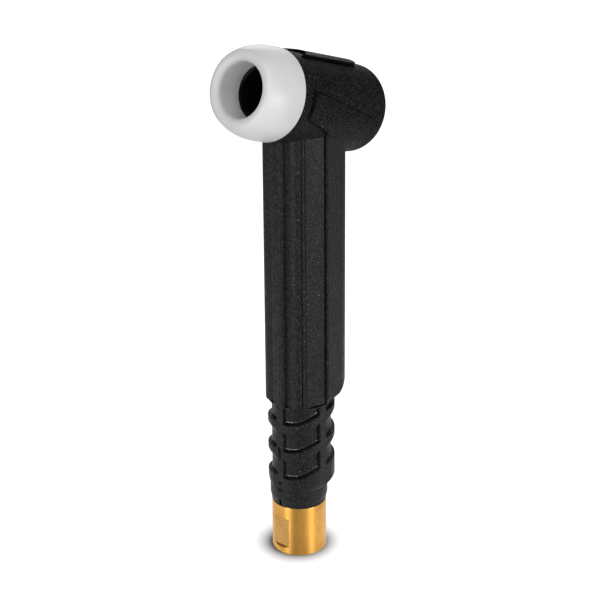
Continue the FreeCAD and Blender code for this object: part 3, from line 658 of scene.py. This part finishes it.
def tail_column(angle, spans, handle):
    """The tail's section at one angle, from its inner foot round to its inner top: (radius, height)."""
    turn = math.radians(angle)
    around = (angle + 90) % 360
    flat = BAR / max(abs(math.cos(turn)), abs(math.sin(turn)))
    floor, groove = near_bars(angle, flat, spans)
    first = ledge_height(around)
    column = [(TUBE_SPACE, TAIL_LOW)]
    for i in range(FOOT_LEVELS):
        height = max(min(TAIL_LOW + FOOT_START + FOOT_STEP * i, first - FOOT_CLEAR), TAIL_LOW)
        column.append((min(tail_foot(turn, height), flat), height))
    for below, inside in LEDGE_EDGE:
        height = max(first - below, TAIL_LOW)
        column.append((max(min(tail_foot(turn, height), flat) - inside, floor), height))
    for number in range(1, TURNS + 1):
        for radius, below in RIB:
            height = max(first + PITCH * number + below, TAIL_LOW)
            sunk = groove if radius < CREST - GROOVE_BELOW else 0
            if height > RIBS_HIGH:
                column.append((column[-1][0], RIBS_HIGH))
            else:
                column.append((min(max(radius - sunk, floor), flat, tail_foot(turn, height)), height))
    last = column[-1][0]
    column += [(min(max(last, CREST - less, floor), flat), RIBS_HIGH + over) for less, over in SHOULDER]
    top = column[-1][0]
    if math.sin(turn) < FRONT_LIMIT:
        top = max(CREST, reach_to(handle, Vector((0, TAIL_MIDDLE)), turn) - TOP_INSET)
    column += [(top, HANDLE_LOW - TOP_GAP), (TUBE_SPACE, HANDLE_LOW)]
    return [(radius - notch_depth(around, height, TAIL_NOTCHES), height) for radius, height in column]


def tail_mesh(materials):
    """Ribs with a flat ledge on top wind up the core and run into four flat bars."""
    spans = bar_spans()
    handle = handle_outline()
    angles = [360 * i / TAIL_SEGMENTS for i in range(TAIL_SEGMENTS)]
    angles += [270 + step for step in NOTCH_STEPS]
    for start, end in spans:
        angles += [(start - step) % 360 for step in BAR_STEPS]
        angles += [(end + step) % 360 for step in BAR_STEPS]
    rings = []
    for angle in sorted(set(round(angle, 4) for angle in angles)):
        turn = math.radians(angle)
        column = tail_column(angle, spans, handle)
        rings.append([Vector((r * math.cos(turn), r * math.sin(turn) + TAIL_MIDDLE, h)) for r, h in column])
    shape = bmesh.new()
    skin(shape, rings)
    ribs = finished("tail_ribs", shape, "torch_body", ("tail_sleeve",), materials, smooth_angle=40)
    for face in ribs.data.polygons:
        place = face.center / MM - Vector((0, TAIL_MIDDLE, 0))
        around = (math.degrees(math.atan2(place.y, place.x)) + 90) % 360
        over = (place.z - ledge_height(around)) % PITCH
        if LIP_LOW < over < LIP_HIGH and place.to_2d().length < LIP_REACH:
            face.material_index = 1
    return ribs


# Collar and brass connector

INNER_WALLS = 7.5
CONNECTOR_SEGMENTS = 240
CHAMFER = 0.3
FLAT = 7.5
FLAT_LOW = 2.4
FLAT_HIGH = 12.1
FLAT_SLOPE = 0.35
FLAT_STEP = 0.08


def collar_profile():
    """Starts flush with the brass and widens a little above it; its foot is (inside the brass, above it)."""
    foot = [(0.1, 0), (0, 0.08)] + [(0, 0.1 + 0.12 * i) for i in range(6)]
    foot += [(0, 0.85), (-0.07, 0.95), (-0.12, 1.1), (-0.2, 1.5), (-0.25, 1.8), (-0.37, 2.2)]
    profile = [(SPIGOT_RADIUS, CONNECTOR_TOP)]
    profile += [(CONNECTOR_RADIUS - less, CONNECTOR_TOP + rise) for less, rise in foot]
    profile += [(COLLAR, CONNECTOR_TOP + 2.5), (COLLAR, TAIL_LOW - 0.5), (COLLAR, TAIL_LOW - 0.2)]
    return profile + [(COLLAR - 0.1, TAIL_LOW - 0.06), (COLLAR - 0.1, TAIL_LOW), (SPIGOT_RADIUS, TAIL_LOW)]


def collar_trim(angle, radius, height):
    """Cuts the notches of the nose line into the collar."""
    if radius < INNER_WALLS:
        return radius
    return radius - notch_depth((angle + 90) % 360, height, COLLAR_NOTCHES)


def flat_distance(height):
    """How far a wrench flat lies from the axis; its lower end slopes out where the cutter's corner ran."""
    low = max(FLAT_LOW + FLAT_SLOPE - height, 0) / (2 * FLAT_SLOPE)
    high = max(height - FLAT_HIGH + FLAT_STEP, 0) / FLAT_STEP
    return FLAT + (CONNECTOR_RADIUS + 0.01 - FLAT) * min(max(low, high), 1)


def connector_profile():
    """Turned brass: a chamfered foot, a grooved spigot, three bores and close levels at the flats' ends."""
    foot = [(0.54, 0), (0.48, 0.03), (0.04, 0.46)]
    levels = [0.52, 1.2, 2.0] + [FLAT_LOW - FLAT_SLOPE + 0.07 * i for i in range(11)]
    levels += [3.5, 5, 7, 9, 11, 11.9] + [FLAT_HIGH + 0.02 * i for i in range(-4, 2)]
    levels += [13, 14.5, CONNECTOR_TOP - 0.15]
    groove = SPIGOT_RADIUS - SEAL_WIDTH
    groove_top = TAIL_SEAL_LOW + SEAL_WIDTH
    profile = [(THREAD_BORE + CHAMFER, 0)] + [(CONNECTOR_RADIUS - less, height) for less, height in foot]
    profile += [(CONNECTOR_RADIUS, level) for level in levels]
    profile += [(CONNECTOR_RADIUS - 0.03, CONNECTOR_TOP - 0.04), (CONNECTOR_RADIUS - 0.12, CONNECTOR_TOP)]
    profile += [(SPIGOT_RADIUS, CONNECTOR_TOP), (SPIGOT_RADIUS, TAIL_SEAL_LOW), (groove, TAIL_SEAL_LOW)]
    profile += [(groove, groove_top), (SPIGOT_RADIUS, groove_top), (SPIGOT_RADIUS, SPIGOT_TOP - CHAMFER)]
    profile += [(SPIGOT_RADIUS - CHAMFER, SPIGOT_TOP), (TUBE_RADIUS, SPIGOT_TOP), (TUBE_RADIUS, TUBE_SOCKET)]
    profile += [(TUBE_BORE, TUBE_SOCKET), (TUBE_BORE, THREAD_DEPTH), (THREAD_BORE, THREAD_DEPTH)]
    return profile + [(THREAD_BORE, CHAMFER)]


def connector_trim(angle, radius, height):
    """Cuts the two wrench flats into the connector."""
    if radius < INNER_WALLS:
        return radius
    return min(radius, flat_distance(height) / max(abs(math.sin(math.radians(angle))), 1e-6))


def flat_edges():
    """Angles at the upright edges of both wrench flats and close beside them."""
    half = math.degrees(math.acos(FLAT / CONNECTOR_RADIUS))
    beside = (-0.5, -0.12, 0, 0.12)
    return [middle + side * (half + off) for middle in (90, 270) for side in (-1, 1) for off in beside]


# Materials

class Look:
    """A node material: a Principled shader, object coordinates and short calls for the nodes before it."""

    def __init__(self, name, colour, rough, metallic=0.0, specular=0.5):
        self.material = bpy.data.materials.new(name)
        self.material.use_nodes = True
        self.nodes = self.material.node_tree.nodes
        self.links = self.material.node_tree.links
        self.shader = self.nodes["Principled BSDF"]
        self.shader.inputs["Base Color"].default_value = (*colour, 1)
        self.shader.inputs["Roughness"].default_value = rough
        self.shader.inputs["Metallic"].default_value = metallic
        self.shader.inputs["Specular IOR Level"].default_value = specular
        self.place = self.nodes.new("ShaderNodeTexCoord").outputs["Object"]
        self.normal = None

    def put(self, value, socket):
        """Links an output to the socket or sets a fixed value there; None leaves it as it is."""
        if isinstance(value, bpy.types.NodeSocket):
            self.links.new(value, socket)
        elif value is not None:
            socket.default_value = value

    def stretched(self, scale, turn=(0, 0, 0), origin=(0, 0, 0)):
        """Object coordinates from an origin, turned back by an angle and then scaled."""
        turned_back = self.nodes.new("ShaderNodeMapping")
        turned_back.vector_type = "TEXTURE"
        turned_back.inputs["Location"].default_value = origin
        turned_back.inputs["Rotation"].default_value = turn
        self.links.new(self.place, turned_back.inputs["Vector"])
        scaled = self.nodes.new("ShaderNodeMapping")
        scaled.inputs["Scale"].default_value = scale
        self.links.new(turned_back.outputs[0], scaled.inputs["Vector"])
        return scaled.outputs[0]

    def noise(self, scale, detail, rough, vector=None):
        """Soft random patches; a higher scale makes them finer."""
        node = self.nodes.new("ShaderNodeTexNoise")
        node.inputs["Scale"].default_value = scale
        node.inputs["Detail"].default_value = detail
        node.inputs["Roughness"].default_value = rough
        self.links.new(vector or self.place, node.inputs["Vector"])
        return node.outputs[0]

    def cells(self, scale):
        """Distance to the nearest of many scattered points, and a random number for that point."""
        node = self.nodes.new("ShaderNodeTexVoronoi")
        node.inputs["Scale"].default_value = scale
        self.links.new(self.place, node.inputs["Vector"])
        split = self.nodes.new("ShaderNodeSeparateColor")
        self.links.new(node.outputs["Color"], split.inputs[0])
        return node.outputs["Distance"], split.outputs[0]

    def spread(self, value, low, high, to_low=0.0, to_high=1.0):
        """Maps a range of values to another range, and holds it at the ends."""
        node = self.nodes.new("ShaderNodeMapRange")
        self.put(value, node.inputs["Value"])
        for name, number in (("From Min", low), ("From Max", high), ("To Min", to_low), ("To Max", to_high)):
            node.inputs[name].default_value = number
        return node.outputs[0]

    def maths(self, operation, one, two=None):
        node = self.nodes.new("ShaderNodeMath")
        node.operation = operation
        self.put(one, node.inputs[0])
        self.put(two, node.inputs[1])
        return node.outputs[0]

    def specks(self, scale, size, share):
        """Small scattered dots; size is a share of the cell, share is how many cells have one."""
        near, chance = self.cells(scale)
        dot = self.spread(near, size, size * 0.5)
        return self.maths("MULTIPLY", dot, self.spread(chance, 1 - share, 1.02 - share))

    def mixed(self, factor, one, two):
        """Goes from the first colour at factor 0 to the second one at factor 1."""
        node = self.nodes.new("ShaderNodeMix")
        node.data_type = "RGBA"
        self.put(factor, node.inputs[0])
        for value, socket in ((one, node.inputs[6]), (two, node.inputs[7])):
            self.put((*value, 1) if isinstance(value, tuple) else value, socket)
        return node.outputs[2]

    def bump(self, height, depth, strength):
        """Adds relief of the given depth in millimetres to what is there already."""
        node = self.nodes.new("ShaderNodeBump")
        node.inputs["Strength"].default_value = strength
        node.inputs["Distance"].default_value = depth * MM
        self.links.new(height, node.inputs["Height"])
        if self.normal:
            self.links.new(self.normal, node.inputs["Normal"])
        self.normal = node.outputs[0]

    def done(self, colour, rough=None):
        """Connects the colour, the roughness and the relief, and gives the material."""
        self.put(colour, self.shader.inputs["Base Color"])
        self.put(rough, self.shader.inputs["Roughness"])
        if self.normal:
            self.links.new(self.normal, self.shader.inputs["Normal"])
        return self.material


HEAD_TURN = (math.radians(90) - HEAD_TILT, 0, 0)
HEAD_PLACE = (0, 0, HEAD_HEIGHT * MM)


def moulded_black(name="black_plastic", specular=0.18, rough=0.44, fleck=0.028):
    """Moulded plastic with a fine grain, pale flecks, a few dust specks and uneven sheen."""
    look = Look(name, (0.008, 0.008, 0.0082), 0.5, specular=specular)
    broad = look.noise(70, 3, 0.55)
    patch = look.noise(420, 2, 0.6)
    grain = look.noise(2600, 1, 0.5)
    pits = look.noise(1900, 2, 0.6)
    dust = look.specks(900, 0.15, 0.13)
    base = look.mixed(look.spread(broad, 0.3, 0.7), (0.001, 0.001, 0.0011), (0.002, 0.002, 0.0021))
    base = look.mixed(look.spread(patch, 0.35, 0.7, 0.0, 0.3), base, (0.005, 0.005, 0.0052))
    base = look.mixed(look.spread(grain, 0.46, 0.64), base, (fleck, fleck, fleck * 1.015))
    base = look.mixed(look.maths("MULTIPLY", dust, 0.8), base, (0.3, 0.3, 0.29))
    look.bump(pits, 0.12, 0.8)
    look.bump(grain, 0.1, 0.8)
    return look.done(base, look.spread(patch, 0.3, 0.7, rough, rough + 0.14))


def smooth_black():
    """Smoother black plastic inside the ring, with faint turning marks and lint."""
    look = Look("inner_plastic", (0.004, 0.004, 0.0042), 0.5, specular=0.1)
    marks = look.noise(1, 3, 0.6, look.stretched((60, 60, 2600), HEAD_TURN, HEAD_PLACE))
    broad = look.noise(160, 3, 0.6)
    fleck = look.specks(900, 0.14, 0.1)
    base = look.mixed(look.spread(broad, 0.3, 0.7), (0.0022, 0.0022, 0.0023), (0.0045, 0.0045, 0.0047))
    base = look.mixed(look.maths("MULTIPLY", fleck, 0.5), base, (0.1, 0.1, 0.1))
    look.bump(marks, 0.02, 0.5)
    return look.done(base, look.spread(broad, 0.3, 0.7, 0.42, 0.6))


def white_ring_look():
    """White insulator with a soft sheen, faint turning marks, hairline scratches and a few grey specks."""
    look = Look("white_insulator", (0.7, 0.7, 0.695), 0.4, specular=0.4)
    broad = look.noise(90, 3, 0.5)
    marks = look.noise(1, 2, 0.5, look.stretched((40, 40, 1800), HEAD_TURN, HEAD_PLACE))
    grain = look.noise(2200, 2, 0.5)
    scratch = look.noise(1, 1, 0.4, look.stretched((1400, 90, 260), (0.5, 0.3, 0.8), HEAD_PLACE))
    speck = look.specks(330, 0.06, 0.16)
    base = look.mixed(look.spread(broad, 0.3, 0.7), (0.685, 0.683, 0.677), (0.715, 0.715, 0.713))
    base = look.mixed(look.maths("MULTIPLY", speck, 0.35), base, (0.42, 0.4, 0.37))
    base = look.mixed(look.spread(marks, 0.62, 0.8, 0.0, 0.08), base, (0.55, 0.55, 0.54))
    base = look.mixed(look.spread(grain, 0.35, 0.65, 0.0, 0.06), base, (0.6, 0.6, 0.595))
    look.bump(marks, 0.014, 0.4)
    look.bump(grain, 0.014, 0.35)
    look.bump(look.spread(scratch, 0.68, 0.74, 0.0, -1.0), 0.012, 0.4)
    return look.done(base, look.spread(broad, 0.3, 0.7, 0.36, 0.46))


def brass_look():
    """Turned brass with fine rings, milled wrench flats, handling marks and a little tarnish."""
    look = Look("brass", (0.68, 0.34, 0.075), 0.26, metallic=1.0)
    look.shader.inputs["Anisotropic"].default_value = 0.82
    look.shader.inputs["Anisotropic Rotation"].default_value = 0.25
    rings = look.noise(1, 4, 0.65, look.stretched((90, 90, 5200)))
    coarse = look.noise(1, 2, 0.5, look.stretched((30, 30, 700)))
    cloud = look.noise(170, 4, 0.6)
    spots = look.specks(420, 0.1, 0.14)
    split = look.nodes.new("ShaderNodeSeparateXYZ")
    look.links.new(look.place, split.inputs[0])
    out = look.maths("ABSOLUTE", split.outputs[1])
    past = look.maths("GREATER_THAN", out, (FLAT - 0.09) * MM)
    near_flat = look.maths("MULTIPLY", past, look.maths("LESS_THAN", out, (FLAT + 0.03) * MM))
    milled = look.noise(1, 3, 0.6, look.stretched((2600, 60, 240), (0, 0.5, 0)))
    base = look.mixed(look.spread(cloud, 0.3, 0.72), (0.8, 0.43, 0.092), (0.7, 0.36, 0.075))
    base = look.mixed(look.spread(coarse, 0.45, 0.75, 0.0, 0.3), base, (0.76, 0.42, 0.12))
    base = look.mixed(look.maths("MULTIPLY", spots, 0.45), base, (0.3, 0.15, 0.05))
    base = look.mixed(look.maths("MULTIPLY", near_flat, 0.6), base, (0.68, 0.42, 0.16))
    fine = look.noise(2600, 2, 0.6)
    base = look.mixed(look.spread(fine, 0.35, 0.65, 0.0, 0.5), base, (0.45, 0.21, 0.035))
    look.bump(rings, 0.012, 0.5)
    look.bump(fine, 0.02, 0.5)
    look.bump(look.maths("MULTIPLY", milled, near_flat), 0.03, 0.5)
    rough = look.spread(cloud, 0.3, 0.7, 0.34, 0.42)
    return look.done(base, look.maths("ADD", rough, look.maths("MULTIPLY", near_flat, 0.06)))


def inner_brass_look():
    """Brass of the head's body, turned about the head's axis."""
    look = Look("brass_head", (0.68, 0.36, 0.09), 0.3, metallic=1.0)
    rings = look.noise(1, 4, 0.6, look.stretched((80, 80, 3600), HEAD_TURN, HEAD_PLACE))
    cloud = look.noise(200, 3, 0.6)
    base = look.mixed(look.spread(cloud, 0.3, 0.7), (0.7, 0.38, 0.1), (0.55, 0.28, 0.075))
    look.bump(rings, 0.015, 0.6)
    return look.done(base, look.spread(cloud, 0.3, 0.7, 0.24, 0.4))


def copper_look():
    """Drawn copper with long draw lines and brown patches."""
    look = Look("copper", (0.72, 0.4, 0.28), 0.3, metallic=1.0)
    lines = look.noise(1, 3, 0.6, look.stretched((2600, 2600, 40)))
    cloud = look.noise(110, 4, 0.6)
    base = look.mixed(look.spread(cloud, 0.35, 0.7), (0.74, 0.4, 0.28), (0.45, 0.22, 0.14))
    look.bump(lines, 0.015, 0.6)
    return look.done(base, look.spread(cloud, 0.3, 0.7, 0.24, 0.42))


def braze_look():
    """Silver braze, rippled where it set and dull with flux."""
    look = Look("braze", (0.72, 0.66, 0.52), 0.32, metallic=1.0)
    ripple = look.noise(600, 3, 0.5)
    cloud = look.noise(300, 3, 0.6)
    base = look.mixed(look.spread(cloud, 0.35, 0.65), (0.74, 0.68, 0.54), (0.42, 0.36, 0.26))
    look.bump(ripple, 0.12, 0.7)
    return look.done(base, look.spread(cloud, 0.3, 0.7, 0.25, 0.5))


def insulation_look():
    """Extruded sleeve with faint lengthwise die lines and dust."""
    look = Look("tube_insulation", (0.5, 0.17, 0.09), 0.5)
    lines = look.noise(1, 2, 0.5, look.stretched((1500, 1500, 25)))
    cloud = look.noise(240, 3, 0.6)
    base = look.mixed(look.spread(cloud, 0.3, 0.7), (0.52, 0.18, 0.1), (0.4, 0.13, 0.07))
    look.bump(lines, 0.03, 0.5)
    return look.done(base, look.spread(cloud, 0.3, 0.7, 0.42, 0.6))


def rubber_look():
    """Seal rubber, dull with a bloom and fine pores."""
    look = Look("seal_rubber", (0.03, 0.03, 0.03), 0.7, specular=0.3)
    pores = look.noise(3200, 2, 0.6)
    cloud = look.noise(380, 3, 0.6)
    base = look.mixed(look.spread(cloud, 0.35, 0.7), (0.022, 0.022, 0.022), (0.06, 0.06, 0.058))
    look.bump(pores, 0.02, 0.6)
    return look.done(base, look.spread(cloud, 0.3, 0.7, 0.6, 0.8))


# Stage

def place_camera():
    """The camera stands round towards +X from the nose and looks a little down."""
    azimuth = math.radians(CAMERA_AZIMUTH)
    elevation = math.radians(CAMERA_ELEVATION)
    flat = math.cos(elevation)
    back = Vector((math.sin(azimuth) * flat, -math.cos(azimuth) * flat, math.sin(elevation)))
    right = Vector((math.cos(azimuth), math.sin(azimuth), 0))
    up = back.cross(right)
    place = CAMERA_TARGET + CAMERA_DISTANCE * back
    aim = CAMERA_TARGET + AIM_RIGHT * right - AIM_DOWN * up
    look = (aim - place).to_track_quat("-Z", "Y").to_matrix().to_4x4()
    roll = Matrix.Rotation(math.radians(CAMERA_ROLL), 4, "Z")
    data = bpy.data.cameras.new("camera")
    data.lens = LENS
    data.sensor_width = SENSOR
    data.sensor_fit = "HORIZONTAL"
    data.shift_x = -HALF_PIXEL
    data.shift_y = HALF_PIXEL
    camera = bpy.data.objects.new("camera", data)
    camera.matrix_world = Matrix.Translation(place) @ look @ roll
    bpy.context.scene.collection.objects.link(camera)
    bpy.context.scene.camera = camera


SOFTBOX_AIM = (0, 0, 0.09)


def lamp(name, place, aim, width, tall, power):
    """A rectangular lamp that faces a point."""
    data = bpy.data.lights.new(name, "AREA")
    data.shape = "RECTANGLE"
    data.size = width
    data.size_y = tall
    data.energy = power
    light = bpy.data.objects.new(name, data)
    turn = (Vector(aim) - Vector(place)).to_track_quat("-Z", "Y").to_matrix().to_4x4()
    light.matrix_world = Matrix.Translation(Vector(place)) @ turn
    bpy.context.scene.collection.objects.link(light)


def softbox(name, angle, height, distance, width, tall, power):
    """A lamp round the torch; the angle is measured from the camera's side, to the right in the picture."""
    way = math.radians(CAMERA_AZIMUTH + angle)
    place = (math.sin(way) * distance, -math.cos(way) * distance, height)
    lamp(name, place, SOFTBOX_AIM, width, tall, power)


# Floor, in metres: it shows white to the camera, with a soft shadow round the foot, which is partly real and
# partly a painted shadow in its colour and in its glow to the camera, and it is as white in what the torch
# mirrors, but for a dimmer wedge on one side and a dark ring further out
FLOOR_HALF = 3.0
FLOOR_COLOUR = 0.32
# Painted shadow: the floor's colour near the foot, and its glow to the camera there
PAINTED_SHADOW_COLOUR = 0.08
FLOOR_GLOW = 0.93
FAR_GLOW = 1.0
FOOT_GLOW = 0.03
GLOW_RISES = (0.02, 0.12)
FOOT_MIDDLE = (-0.0009, 0.0003, 0)
FOOT_RADIUS = 0.0078
SHADOW_REACH = 0.008
SHADOW_POWER = 2.0
GLOW_FADES = (0.12, 0.33)
SURROUND_STARTS = (0.5, 0.9)
SURROUND = 0.8
DIM_WAY = (0.656, -0.755, 0)
DIM_STARTS = (0.8, 0.965)
DIM = 0.4
WORLD = 0.11


def vector_maths(look, operation, one, two=None):
    """One step of vector arithmetic; two is a fixed vector."""
    node = look.nodes.new("ShaderNodeVectorMath")
    node.operation = operation
    look.links.new(one, node.inputs[0])
    if two:
        node.inputs[1].default_value = two
    return node.outputs


def make_floor():
    """A pale floor that shows white to the camera, keeps the torch's real shadow and has a painted shadow
    round the foot.
    """
    mesh = bpy.data.meshes.new("floor")
    shape = bmesh.new()
    bmesh.ops.create_grid(shape, x_segments=1, y_segments=1, size=FLOOR_HALF)
    shape.to_mesh(mesh)
    shape.free()
    floor = bpy.data.objects.new("floor", mesh)
    bpy.context.scene.collection.objects.link(floor)
    look = Look("floor", (FLOOR_COLOUR, FLOOR_COLOUR, FLOOR_COLOUR), 0.95, specular=0.0)
    look.shader.inputs["Emission Color"].default_value = (1, 1, 1, 1)
    path = look.nodes.new("ShaderNodeLightPath").outputs
    away = vector_maths(look, "DISTANCE", look.place, FOOT_MIDDLE)["Value"]
    # Painted shadow round the foot: towards the foot the floor's colour darkens and its glow to the camera
    # drops; the glow is also a little lower within 12 cm of the torch
    near = look.spread(away, FOOT_RADIUS, FOOT_RADIUS + SHADOW_REACH, 1.0, 0.0)
    painted_shadow = look.maths("POWER", near, SHADOW_POWER)
    open_floor = look.spread(away, *GLOW_RISES, FLOOR_GLOW, FAR_GLOW)
    shown = look.maths("SUBTRACT", open_floor, look.maths("MULTIPLY", painted_shadow, FLOOR_GLOW - FOOT_GLOW))
    seen = look.maths("MULTIPLY", path["Is Camera Ray"], shown)
    way = vector_maths(look, "NORMALIZE", look.place)["Vector"]
    toward = vector_maths(look, "DOT_PRODUCT", way, DIM_WAY)["Value"]
    side = look.spread(toward, *DIM_STARTS, 1.0, DIM)
    round_torch = look.maths("MULTIPLY", side, look.spread(away, *GLOW_FADES, 1.0, 0.0))
    glow = look.maths("ADD", round_torch, look.spread(away, *SURROUND_STARTS, 0.0, SURROUND))
    mirror = look.maths("MAXIMUM", path["Is Glossy Ray"], path["Is Transmission Ray"])
    strength = look.maths("ADD", seen, look.maths("MULTIPLY", mirror, glow))
    look.put(strength, look.shader.inputs["Emission Strength"])
    grey, dark = [(colour, colour, colour) for colour in (FLOOR_COLOUR, PAINTED_SHADOW_COLOUR)]
    floor.data.materials.append(look.done(look.mixed(painted_shadow, grey, dark)))


def make_world():
    world = bpy.data.worlds.new("world")
    bpy.context.scene.world = world
    world.use_nodes = True
    sky = world.node_tree.nodes["Background"]
    sky.inputs["Color"].default_value = (1, 1, 1, 1)
    sky.inputs["Strength"].default_value = WORLD


bpy.context.scene.view_settings.view_transform = "Standard"
place_camera()
make_floor()
make_world()
softbox("left", angle=-46, height=0.09, distance=0.42, width=0.1, tall=0.12, power=0.8)
softbox("right", angle=50, height=0.09, distance=0.42, width=0.13, tall=0.12, power=0.8)
softbox("front", angle=14, height=0.42, distance=0.5, width=0.3, tall=0.3, power=1.2)
softbox("back", angle=180, height=0.35, distance=0.5, width=0.3, tall=0.3, power=1.0)
lamp("top", (0.05, 0.1, 0.8), (0, 0, 0), width=0.6, tall=0.6, power=1.6)

black = moulded_black()
head_black = moulded_black("black_plastic_head", 0.06, 0.5)
# Painted shade: a darker, duller copy of the black for the plate's walls
shaded_wall_black = moulded_black("black_plastic_shaded_wall", 0.02, 0.6, 0.006)
edge_black = moulded_black("black_plastic_edge", 0.7, 0.2)
inner_black = smooth_black()
white = white_ring_look()
brass = brass_look()
LOOKS = {
    "black_plastic": black,
    "inner_plastic": inner_black,
    "white_insulator": white,
    "brass": brass,
    "copper": copper_look(),
    "braze": braze_look(),
    "tube_insulation": insulation_look(),
    "seal_rubber": rubber_look(),
}
OWN_LOOKS = {"head_body": inner_brass_look()}
for name, node in frame["nodes"].items():
    node.data.materials.clear()
    node.data.materials.append(OWN_LOOKS.get(name, LOOKS[SLOTS[name]]))

finished("ring_turned", revolved(ring_profile(), HEAD, FINE_SEGMENTS), "ring", ("insulator_ring",), [white])
finished("sleeve_turned", revolved(sleeve_profile(), HEAD), "torch_body", ("nose_sleeve",), [inner_black])
grooved_barrel([head_black])
nose_line = [270 + step for step in NOTCH_STEPS]
collar = revolved(collar_profile(), UPRIGHT, trim=collar_trim, extra=nose_line)
finished("collar_turned", collar, "torch_body", ("tail_collar",), [black])
connector = revolved(connector_profile(), UPRIGHT, CONNECTOR_SEGMENTS, connector_trim, flat_edges())
finished("connector_turned", connector, "torch_body", ("tail_connector",), [brass], smooth_angle=12)
standing("handle_bar", handle_outline(), ("handle_core",), [black], edge=0.12, heel=True)
standing("strip_bar", strip_outline(), ("nose_strip",), [black], edge=0.25)
tail_mesh([black, edge_black])
for node in ("side_shell_left", "side_shell_right"):
    side_shell(node, [black, head_black])
top_plate([head_black, shaded_wall_black])
